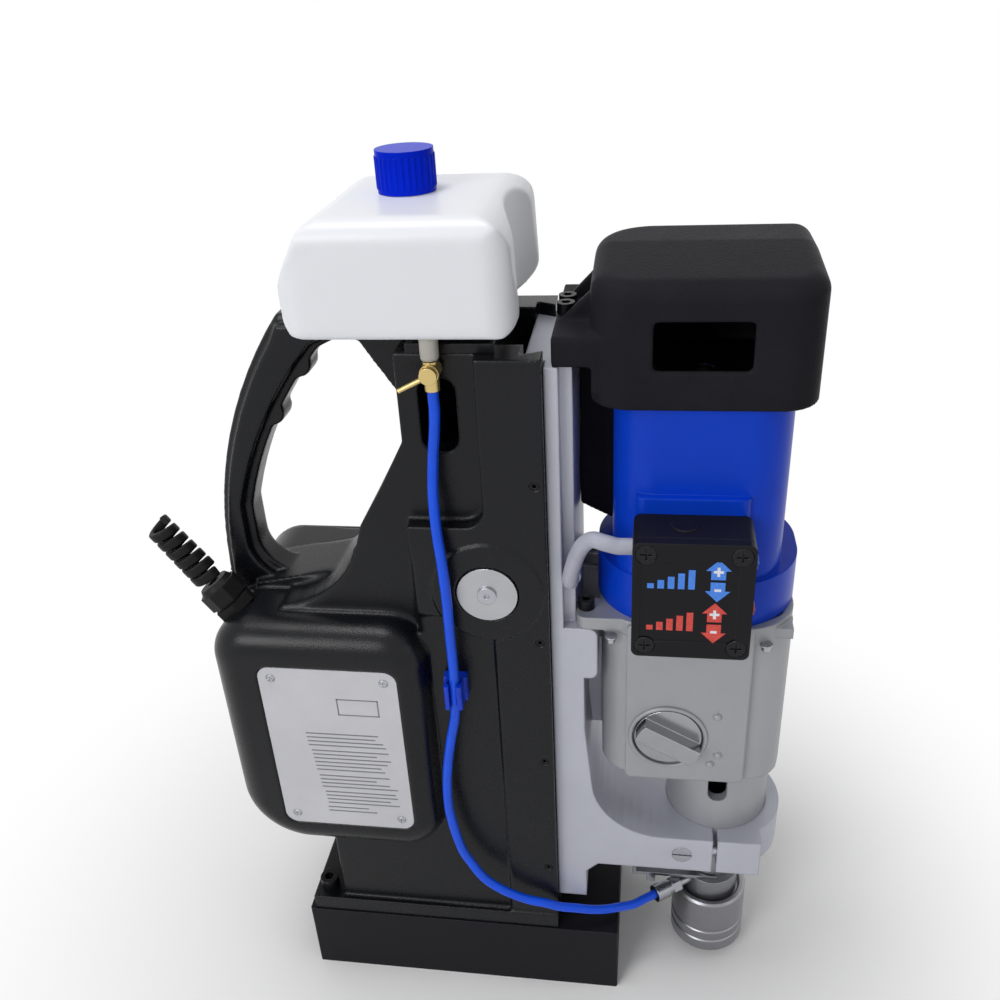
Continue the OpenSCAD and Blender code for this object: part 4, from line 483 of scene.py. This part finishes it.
def open_tree(name, **sockets):
    """A Geometry Nodes tree with named inputs, and the wires that come from them."""
    tree = bpy.data.node_groups.new(name, "GeometryNodeTree")
    for socket, kind in sockets.items():
        tree.interface.new_socket(socket.replace("_", " "), in_out="INPUT", socket_type="NodeSocket" + kind)
    tree.interface.new_socket("Geometry", in_out="OUTPUT", socket_type="NodeSocketGeometry")
    source = tree.nodes.new("NodeGroupInput")
    return tree, Wire(tree), {s.name: Wire(tree, s) for s in source.outputs if s.name}


def close_tree(w, form, material):
    """Ends a tree in plain geometry with its material."""
    form = w.node("GeometryNodeRealizeInstances", None, {"Geometry": form})
    form = w.node("GeometryNodeSetMaterial", None, {"Geometry": form, "Material": material})
    w.node("NodeGroupOutput", None, {"Geometry": form})


rules_tree, w, given = open_tree(
    "printed_rules", Rows="Int", Step="Vector", Start="Vector", Shortest="Float", Longest="Float", Height="Float",
    Depth="Float", Seed="Int", Ink="Material")
rows = w.node("GeometryNodeMeshLine", {"mode": "OFFSET"}, {
    "Count": given["Rows"], "Start Location": given["Start"], "Offset": given["Step"]})
bar = w.node("GeometryNodeTransform", None, {
    "Geometry": w.node("GeometryNodeMeshCube", None, {"Size": (1, 1, 1)}), "Translation": (0.5, 0, 0)})
length = w.node("FunctionNodeRandomValue", {"data_type": "FLOAT"}, {
    2: given["Shortest"], 3: given["Longest"], "Seed": given["Seed"]}, out=1)
size = w.node("ShaderNodeCombineXYZ", None, {"X": length, "Y": given["Depth"], "Z": given["Height"]})
bars = w.node("GeometryNodeInstanceOnPoints", None, {"Points": rows, "Instance": bar, "Scale": size})
close_tree(w, bars, given["Ink"])


def grown(name, tree, values):
    """Runs a Geometry Nodes tree once and returns its result as a plain mesh."""
    holder = new_object(name + "_grown", bpy.data.meshes.new(name + "_seed"))
    run = holder.modifiers.new("run", "NODES")
    run.node_group = tree
    names = {item.name: item.identifier for item in tree.interface.items_tree if item.in_out == "INPUT"}
    for key, value in values.items():
        run[names[key]] = value
    graph = bpy.context.evaluated_depsgraph_get()
    mesh = bpy.data.meshes.new_from_object(holder.evaluated_get(graph))
    holder.modifiers.remove(run)
    bpy.data.objects.remove(holder)
    mesh.name = name
    given_finish = [m for m in mesh.materials if m][-1]
    mesh.polygons.foreach_set("material_index", [0] * len(mesh.polygons))
    mesh.materials.clear()
    mesh.materials.append(given_finish)
    return mesh


def worked(name, work, material, body=None):
    """A piece from an edited mesh. Without a body it is left to ride or blend later."""
    mesh = bpy.data.meshes.new(name)
    work.to_mesh(mesh)
    work.free()
    mesh.materials.append(material)
    piece = new_object(name, mesh)
    if body:
        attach(piece, body)
    return piece


def joined(name, meshes, body):
    """One piece from several meshes of the same material."""
    work = bmesh.new()
    for mesh in meshes:
        work.from_mesh(mesh)
    return worked(name, work, meshes[0].materials[0], body)


plate_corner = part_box("name_plate")[0]
INK_DEPTH = 0.0001
RULE_STEP = (0.0002, 0, -0.0032)
RULE_HEIGHT = 0.0009
FIRST_SEED = 11
FIELD_LINE = 0.0008
FIELD_WIDE, FIELD_HIGH = 0.026, 0.0128
blocks = []
for number, (rows_in_block, start_x, start_z, shortest, longest) in enumerate((
        (4, 0.024, 0.078, 0.040, 0.050), (6, 0.026, 0.064, 0.040, 0.052), (4, 0.028, 0.043, 0.034, 0.050),
        (4, 0.030, 0.029, 0.036, 0.048), (2, 0.030, 0.0155, 0.026, 0.034))):
    blocks.append(grown("rules_%d" % number, rules_tree, {
        "Rows": rows_in_block, "Step": RULE_STEP, "Start": plate_corner + Vector((start_x, 0, start_z)),
        "Shortest": shortest, "Longest": longest, "Height": RULE_HEIGHT, "Depth": 2 * INK_DEPTH,
        "Seed": FIRST_SEED + number, "Ink": plate_ink}))
for number, (start_x, start_z, long, high) in enumerate((
        (0.047, 0.094, FIELD_WIDE, FIELD_LINE), (0.047, 0.106, FIELD_WIDE, FIELD_LINE),
        (0.047, 0.100, FIELD_LINE, FIELD_HIGH), (0.0722, 0.100, FIELD_LINE, FIELD_HIGH))):
    blocks.append(grown("field_%d" % number, rules_tree, {
        "Rows": 1, "Step": RULE_STEP, "Start": plate_corner + Vector((start_x, 0, start_z)),
        "Shortest": long, "Longest": long, "Height": high, "Depth": 2 * INK_DEPTH, "Seed": 1, "Ink": plate_ink}))
joined("name_plate_rules", blocks, "frame")


# Gib strip and bushes: a brass strip between column and slide, pressed home by a row of grub screws in
# the column's near side, and the brass bushes in which the feed shaft turns.
steel = finish("ground_steel", colour(150, 152, 158), 0.3, grain=0.0006, depth=0.12, metal=1.0,
               edge=colour(205, 206, 210), edge_wear_and_highlight=0.6, stretch=(1, 1, 0.12), round_off=0.0006)
brass = finish("machined_brass", colour(196, 160, 92), 0.28, grain=0.0005, depth=0.12, metal=1.0,
               edge=colour(232, 208, 150), edge_wear_and_highlight=0.7, stretch=(1, 1, 6), round_off=0.0006)
dress(brass, "gib_strip", "feed_bushes")
dress(black_screw, "gib_screws")


# Feed: a steel pinion shaft across the column, a disc with a screw on its near end, and on the far
# end a hub with three steel arms that carry black moulded grips.
dress(steel, "feed_shaft", "feed_rods")
feed_low, feed_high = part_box("shaft_disc")
FEED_AXIS = ((feed_low + feed_high) / 2, (0, 1, 0))
dress(finish("blackened_steel", colour(34, 35, 38), 0.42, grain=0.0006, metal=0.5, edge=colour(140, 141, 146),
             edge_wear_and_highlight=0.6, lathe=FEED_AXIS, round_off=0.0008), "feed_hub")
dress(finish("disc_turned_steel", colour(172, 173, 176), 0.3, grain=0.0006, depth=0.25, metal=0.9,
             edge=colour(226, 227, 230), edge_wear_and_highlight=0.7, lathe=FEED_AXIS, round_off=0.0006), "shaft_disc")
dress(bright_screw, "disc_screw")
dress(finish("grip_moulding", colour(18, 18, 20), 0.36, grain=0.0012, depth=0.06, edge=colour(70, 70, 74),
             edge_wear_and_highlight=0.3, round_off=0.0012), "feed_grips")


# Slide: a long cast plate with the clamp arm at its foot, painted silver, that runs in the column's
# ways. Its rack is screwed to the back; lug screws hold the gearbox.
silver = finish("silver_paint_cast", colour(184, 186, 197), 0.42, grain=0.0009, depth=0.10, patch=0.05, metal=0.3,
                edge=colour(206, 208, 214), edge_wear_and_highlight=0.3, round_off=0.0018)
dress(silver, "slide_casting")
dress(steel, "feed_rack")
dress(black_screw, "lug_screws")
dress(bright_screw, "neck_lock_screw", "clamp_screw")


# Gearbox: a silver-painted casting under the motor with two pairs of gears on ball bearings, two small
# screws up into its flange, and a bright gear knob in a raised rim on its near side.
gearbox_silver = finish("gearbox_silver_paint", colour(160, 162, 166), 0.42, grain=0.0009, depth=0.10, patch=0.05,
                        metal=0.3, edge=colour(196, 198, 202), edge_wear_and_highlight=0.4, round_off=0.0016)
dress(gearbox_silver, "gearbox_housing")
dress(steel, "drive_spindle", "layshaft", "spindle_bearings", "lay_bearings", "armature_bearings")

screw_tree, w, given = open_tree(
    "set_screws", First="Vector", Step="Vector", Count="Int", Head_Radius="Float", Head_Height="Float",
    Finish="Material")
WASHER_WIDER, WASHER_SHARE, WASHER_RISE = 1.35, 0.3, 0.6
head = w.node("GeometryNodeMeshCylinder", None, {
    "Vertices": 6, "Radius": given["Head Radius"], "Depth": given["Head Height"]})
washer = w.node("GeometryNodeMeshCylinder", None, {
    "Vertices": 28, "Radius": given["Head Radius"] * WASHER_WIDER, "Depth": given["Head Height"] * WASHER_SHARE})
washer = w.node("GeometryNodeTransform", None, {"Geometry": washer, "Translation": w.node(
    "ShaderNodeCombineXYZ", None, {"Z": given["Head Height"] * WASHER_RISE})})
one_screw = w.node("GeometryNodeJoinGeometry", None, {"Geometry": [head, washer]})
line = w.node("GeometryNodeMeshLine", {"mode": "OFFSET"}, {
    "Count": given["Count"], "Start Location": given["First"], "Offset": given["Step"]})
screws = w.node("GeometryNodeInstanceOnPoints", None, {"Points": line, "Instance": one_screw})
close_tree(w, screws, given["Finish"])
FIRST_SCREW, SCREW_STEP = (0.1042, -0.0475, 0.3036), (0.0868, -0.0015, 0)
joined("flange_screw_heads", [grown("flange_screw_row", screw_tree, {
    "First": FIRST_SCREW, "Step": SCREW_STEP, "Count": 2, "Head Radius": 0.0026, "Head Height": 0.0034,
    "Finish": bright_screw})], "slide")

knob_low, knob_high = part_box("gear_knob")
KNOB_X, KNOB_Z = (knob_low.x + knob_high.x) / 2, (knob_low.z + knob_high.z) / 2
FACE_Y = -0.050
RIM_IN, RIM_OUT, RIM_PROUD, RIM_SUNK = 0.0212, 0.0238, 0.0016, 0.0004
INNER_EASE, OUTER_EASE = 0.0005, 0.0008
RIM_STEPS = 72
rim_outline = [(RIM_IN, -RIM_SUNK), (RIM_IN, RIM_PROUD - INNER_EASE), (RIM_IN + INNER_EASE, RIM_PROUD),
               (RIM_OUT - OUTER_EASE, RIM_PROUD), (RIM_OUT, RIM_PROUD - OUTER_EASE), (RIM_OUT, -RIM_SUNK)]
rim = bmesh.new()
rings = [[rim.verts.new((KNOB_X + r * math.cos(turn), FACE_Y - proud, KNOB_Z + r * math.sin(turn)))
          for r, proud in rim_outline] for turn in (2 * math.pi * i / RIM_STEPS for i in range(RIM_STEPS))]
for ring, following in zip(rings, rings[1:] + rings[:1]):
    for k in range(len(ring)):
        j = (k + 1) % len(ring)
        rim.faces.new((ring[k], following[k], following[j], ring[j])).smooth = True
bmesh.ops.recalc_face_normals(rim, faces=rim.faces)
worked("knob_rim", rim, gearbox_silver, "slide")
chrome = finish("knob_chrome_plate", colour(158, 159, 162), 0.22, grain=0.0008, depth=0.05, metal=1.0,
                edge=colour(236, 236, 240), edge_wear_and_highlight=0.5, round_off=0.0009)
dress(chrome, "gear_knob")


# Motor: a blue moulded casing round stator and armature, and a black grained hood over the brushes,
# with an open window at the front. A strap of the hood is held on the slide's top by two screws.
casing_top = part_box("motor_casing")[1].z
HOOD_LAP = 0.0035
blue = finish("motor_blue_plastic", colour(6, 62, 198), 0.33, grain=0.0008, depth=0.08, patch=0.07,
              edge=colour(60, 108, 222), edge_wear_and_highlight=0.3, round_off=0.0012, gloss=0.14,
              above=(casing_top - HOOD_LAP, colour(14, 14, 16)))
dress(blue, "motor_casing")
hood_black = finish("hood_black_plastic", colour(36, 36, 40), 0.36, grain=0.0009, depth=0.7,
                    edge=colour(60, 60, 65), edge_wear_and_highlight=0.15, round_off=0.0016, gloss=0.012)
hood_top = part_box("motor_hood")[1].z
HOOD_FALL = 0.006
HOOD_LEAN = 0.030
FALL_FROM_Y, FALL_SPAN = 0.010, 0.060


def hood_lean(spots):
    """The hood's roof falls a little towards the near side."""
    share = np.clip((spots[:, 2] - (hood_top - HOOD_LEAN)) / HOOD_LEAN, 0, 1)
    near = np.clip((FALL_FROM_Y - spots[:, 1]) / FALL_SPAN, 0, 1)
    fallen = spots.copy()
    fallen[:, 2] -= HOOD_FALL * share * share * (3 - 2 * share) * near
    return fallen


cast_skin("motor_hood_skin", "motor_hood", voxel=0.0013, rounds=4, keep=0.4, material=hood_black, body="slide",
          lean=hood_lean)
dress(black_screw, "hood_screws")
dress(finish("core_laminations", colour(120, 122, 128), 0.4, grain=0.0007, metal=0.9, stretch=(0.1, 0.1, 2)),
      "stator", "armature")


# Control box: a small black box screwed to the motor's side, its lid with four cross screws and a
# printed panel of bars and arrows, a knock-out disc on its top, and two thumb wheels in its edge.
box_black = finish("box_black_plastic", colour(20, 20, 23), 0.42, grain=0.0009, depth=0.12,
                   edge=colour(76, 76, 84), edge_wear_and_highlight=0.25, round_off=0.0012, gloss=0.14)
dress(box_black, "control_box", "box_lid")
dress(black_screw, "lid_screws")
dress(finish("wheel_red_plastic", colour(176, 74, 62), 0.4, edge=colour(222, 140, 128), edge_wear_and_highlight=0.6),
      "power_wheel")
dress(finish("wheel_blue_plastic", colour(52, 96, 196), 0.4, edge=colour(128, 160, 226), edge_wear_and_highlight=0.6),
      "speed_wheel")


def printed(name, outlines, face_y, proud, material):
    """Flat forms printed on a face that looks towards -y, from outlines of (x, z) in millimetres."""
    work = bmesh.new()
    for outline in outlines:
        sunk, top = ([work.verts.new((x / 1000, face_y - d, z / 1000)) for x, z in outline]
                     for d in (-INK_DEPTH, proud))
        work.faces.new(sunk)
        work.faces.new(list(reversed(top)))
        for i in range(len(outline)):
            j = (i + 1) % len(outline)
            work.faces.new((sunk[i], top[i], top[j], sunk[j]))
    bmesh.ops.recalc_face_normals(work, faces=work.faces)
    return worked(name, work, material, "slide")


def arrow(x, z, high, way, half=6.4, shaft=3.7, head=6.6):
    """An arrow from z along way (1 up, -1 down)."""
    neck = z + way * (high - head)
    return [(x - shaft, z), (x + shaft, z), (x + shaft, neck), (x + half, neck), (x, z + way * high),
            (x - half, neck), (x - shaft, neck)]


def bar_form(x, z, wide, high):
    """An upright bar about its middle."""
    return [(x - wide / 2, z - high / 2), (x + wide / 2, z - high / 2), (x + wide / 2, z + high / 2),
            (x - wide / 2, z + high / 2)]


PANEL_SUNK = 0.0006
panel_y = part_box("box_lid")[0].y + PANEL_SUNK
ARROW, ARROW_GAP = 12.0, 0.8
BARS, BAR_X, BAR_STEP, BAR_WIDE, BAR_LOW, BAR_GROWS, BAR_DROP = 5, 125.5, 5.2, 3.4, 3.0, 2.2, 4
SIGN, SIGN_LINE, PLUS_WIDE, PLUS_ARM, PLUS_OUT, MINUS_WIDE = 5.6, 1.5, 5.0, 2.0, 1.75, 3.4
for tint, tone, x, z in (("blue", colour(72, 132, 226), 159.6, 367.2), ("red", colour(206, 74, 66), 158.8, 340.8)):
    print_ink = ink("panel_%s_ink" % tint, tone)
    printed("panel_%s_arrows" % tint, [arrow(x, z + ARROW_GAP, ARROW, 1), arrow(x, z - ARROW_GAP, ARROW, -1)]
            + [bar_form(BAR_X + BAR_STEP * i, z - BAR_DROP + BAR_GROWS / 2 * i, BAR_WIDE, BAR_LOW + BAR_GROWS * i)
               for i in range(BARS)], panel_y, INK_DEPTH, print_ink)
    white_ink = ink("panel_%s_sign" % tint, colour(220, 222, 228))
    plus = [bar_form(x, z + SIGN, PLUS_WIDE, SIGN_LINE), bar_form(x, z + SIGN + PLUS_OUT, SIGN_LINE, PLUS_ARM),
            bar_form(x, z + SIGN - PLUS_OUT, SIGN_LINE, PLUS_ARM)]
    minus = [bar_form(x, z - SIGN, MINUS_WIDE, SIGN_LINE)]
    printed("panel_%s_signs" % tint, plus + minus, panel_y, 2 * INK_DEPTH, white_ink)

box_low, box_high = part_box("control_box")
KNOCK_R, KNOCK_PROUD, KNOCK_SUNK, KNOCK_EASE = 0.0072, 0.0006, 0.0002, 0.0003
KNOCK_OFF_X, KNOCK_OFF_Y = -0.0045, 0.001
disc = bmesh.new()
bmesh.ops.create_circle(disc, cap_ends=True, segments=40, radius=KNOCK_R)
raised = bmesh.ops.extrude_face_region(disc, geom=list(disc.faces))["geom"]
bmesh.ops.translate(disc, vec=(0, 0, KNOCK_PROUD + KNOCK_SUNK),
                    verts=[v for v in raised if isinstance(v, bmesh.types.BMVert)])
bmesh.ops.recalc_face_normals(disc, faces=disc.faces)
bmesh.ops.bevel(disc, geom=[e for e in disc.edges if e.calc_face_angle(0) > 1 and e.verts[0].co.z > KNOCK_SUNK],
                offset=KNOCK_EASE, segments=2, affect="EDGES")
bmesh.ops.translate(disc, verts=disc.verts, vec=(
    (box_low.x + box_high.x) / 2 + KNOCK_OFF_X, (box_low.y + box_high.y) / 2 + KNOCK_OFF_Y, box_high.z - KNOCK_SUNK))
worked("box_knock_out", disc, box_black, "slide")


# Arbor: the turned steel holder on the spindle, with the quick change sleeve that slides up on it to
# free the tool, its locking ring and spring, and the still ring that feeds coolant into the bore.
SPINDLE_X = 0.174
SPINDLE_AXIS = ((SPINDLE_X, 0, 0), (0, 0, 1))
dress(steel, "sleeve_ring")
dress(finish("sleeve_turned_steel", colour(146, 146, 151), 0.32, grain=0.0007, depth=0.3, metal=0.85,
             edge=colour(214, 214, 218), edge_wear_and_highlight=0.8, lathe=SPINDLE_AXIS, round_off=0.0007),
      "change_sleeve", "arbor")
dress(finish("ring_alloy", colour(138, 139, 143), 0.36, grain=0.0007, depth=0.2, metal=0.85,
             edge=colour(210, 210, 214), edge_wear_and_highlight=0.6, lathe=SPINDLE_AXIS, round_off=0.0007), "coolant_ring")
dress(steel, "coolant_nipple", "ring_bracket")

coil_tree, w, given = open_tree(
    "wound_wire", Turns="Float", Foot_Radius="Float", Tip_Radius="Float", Height="Float", Wire="Float", Broad="Float",
    Round="Float", Tip_Share="Float", Finish="Material")
spiral = w.node("GeometryNodeCurveSpiral", None, {
    "Resolution": 40, "Rotations": given["Turns"], "Start Radius": given["Foot Radius"],
    "End Radius": given["Tip Radius"], "Height": given["Height"], "Reverse": False})
share = w.node("GeometryNodeSplineParameter", out="Factor")
thick = w.node("ShaderNodeMapRange", None, {"Value": share, "To Min": 1.0, "To Max": given["Tip Share"]})
spiral = w.node("GeometryNodeSetCurveNormal", {"mode": "Z_UP"}, {"Curve": spiral})
section = w.node("GeometryNodeCurvePrimitiveQuadrilateral", None, {
    "Width": given["Wire"], "Height": given["Broad"]})
section = w.node("GeometryNodeFilletCurve", {"mode": "POLY"}, {
    "Curve": section, "Count": 4, "Radius": given["Round"]})
wire_form = w.node("GeometryNodeCurveToMesh", None, {
    "Curve": spiral, "Profile Curve": section, "Scale": thick, "Fill Caps": True})
close_tree(w, w.node("GeometryNodeSetShadeSmooth", None, {"Geometry": wire_form}), given["Finish"])


def wound(name, node, values, place):
    """A wire or ribbon wound from the tree, in place of a CAD node."""
    work = bmesh.new()
    work.from_mesh(grown(name + "_run", coil_tree, values))
    work.transform(place)
    bmesh.ops.recalc_face_normals(work, faces=work.faces)
    piece = worked(name, work, values["Finish"])
    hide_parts(node)
    return piece


spring_low, spring_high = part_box("sleeve_spring")
SPRING_WIRE, SPRING_R, NEARLY_ROUND = 0.0018, 0.0221, 0.49
spring_height = spring_high.z - spring_low.z - SPRING_WIRE
spring = wound("sleeve_spring_wire", "sleeve_spring", {
    "Turns": 4.5, "Foot Radius": SPRING_R, "Tip Radius": SPRING_R, "Height": spring_height, "Wire": SPRING_WIRE,
    "Broad": SPRING_WIRE, "Round": SPRING_WIRE * NEARLY_ROUND, "Tip Share": 1.0, "Finish": steel},
    Matrix.Translation((SPINDLE_X, 0, spring_low.z + SPRING_WIRE / 2)))
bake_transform(spring)


# Coolant tank: a blow-moulded milky bottle on a saddle bolted to the column's top, with a ribbed blue
# screw cap, and under it a brass valve with a lever.
TANK_FLOOR = 0.4885
milky = finish("tank_milky_plastic", colour(176, 174, 166), 0.36, grain=0.0012, depth=0.05, patch=0.03,
               edge=colour(236, 237, 240), edge_wear_and_highlight=0.15, round_off=0.002,
               above=(TANK_FLOOR, colour(229, 231, 236)))
cast_skin("coolant_tank_skin", "coolant_tank", voxel=0.0013, rounds=5, keep=0.5, material=milky, body="frame")
dress(powder, "tank_saddle")
dress(finish("cap_blue_plastic", colour(3, 36, 196), 0.24, grain=0.0008, depth=0.06, edge=colour(40, 80, 220),
             edge_wear_and_highlight=0.3, round_off=0.0009, gloss=0.03), "tank_cap")
dress(finish("valve_pale_brass", colour(206, 182, 122), 0.3, grain=0.0005, depth=0.1, metal=0.85,
             edge=colour(236, 220, 176), edge_wear_and_highlight=0.6, round_off=0.0005), "coolant_valve", "valve_lever")


# Hose clip, cable gland and bend guard: a blue moulded clip on the column, and at the case's rear
# corner a black gland whose spiral keeps the cable from kinking.
dress(finish("clip_blue_plastic", colour(8, 56, 196), 0.36, grain=0.0006, depth=0.06, edge=colour(70, 112, 226),
             edge_wear_and_highlight=0.3, gloss=0.3), "hose_clip")
rubber = finish("gland_black_rubber", colour(16, 16, 18), 0.5, grain=0.0007, depth=0.2, edge=colour(52, 52, 56),
                edge_wear_and_highlight=0.2, round_off=0.0009, gloss=0.18)
dress(rubber, "cable_gland")
GUARD_TILT = math.radians(35)
GLAND_FOOT, GUARD_START = Vector((-0.112, -0.034, 0.286)), 0.0516
guard_axis = Vector((-math.sin(GUARD_TILT), 0, math.cos(GUARD_TILT)))
guard_place = (Matrix.Translation(GLAND_FOOT + guard_axis * GUARD_START)
               @ Vector((0, 0, 1)).rotation_difference(guard_axis).to_matrix().to_4x4())
guard = wound("bend_guard_spiral", "bend_guard", {
    "Turns": 6.0, "Foot Radius": 0.007, "Tip Radius": 0.0063, "Height": 0.0432, "Wire": 0.0044, "Broad": 0.0064,
    "Round": 0.0013, "Tip Share": 0.85, "Finish": rubber}, guard_place)
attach(guard, "frame")


# Switches: green start and red stop push buttons and a red rocker for the magnet, moulded plastic caps
# that stand out of the cover on the far side.
dress(finish("start_green_plastic", colour(38, 140, 70), 0.36, edge=colour(110, 196, 130), edge_wear_and_highlight=0.4),
      "start_button")
dress(finish("stop_red_plastic", colour(190, 36, 32), 0.36, edge=colour(228, 110, 100), edge_wear_and_highlight=0.4),
      "stop_button", "magnet_rocker")
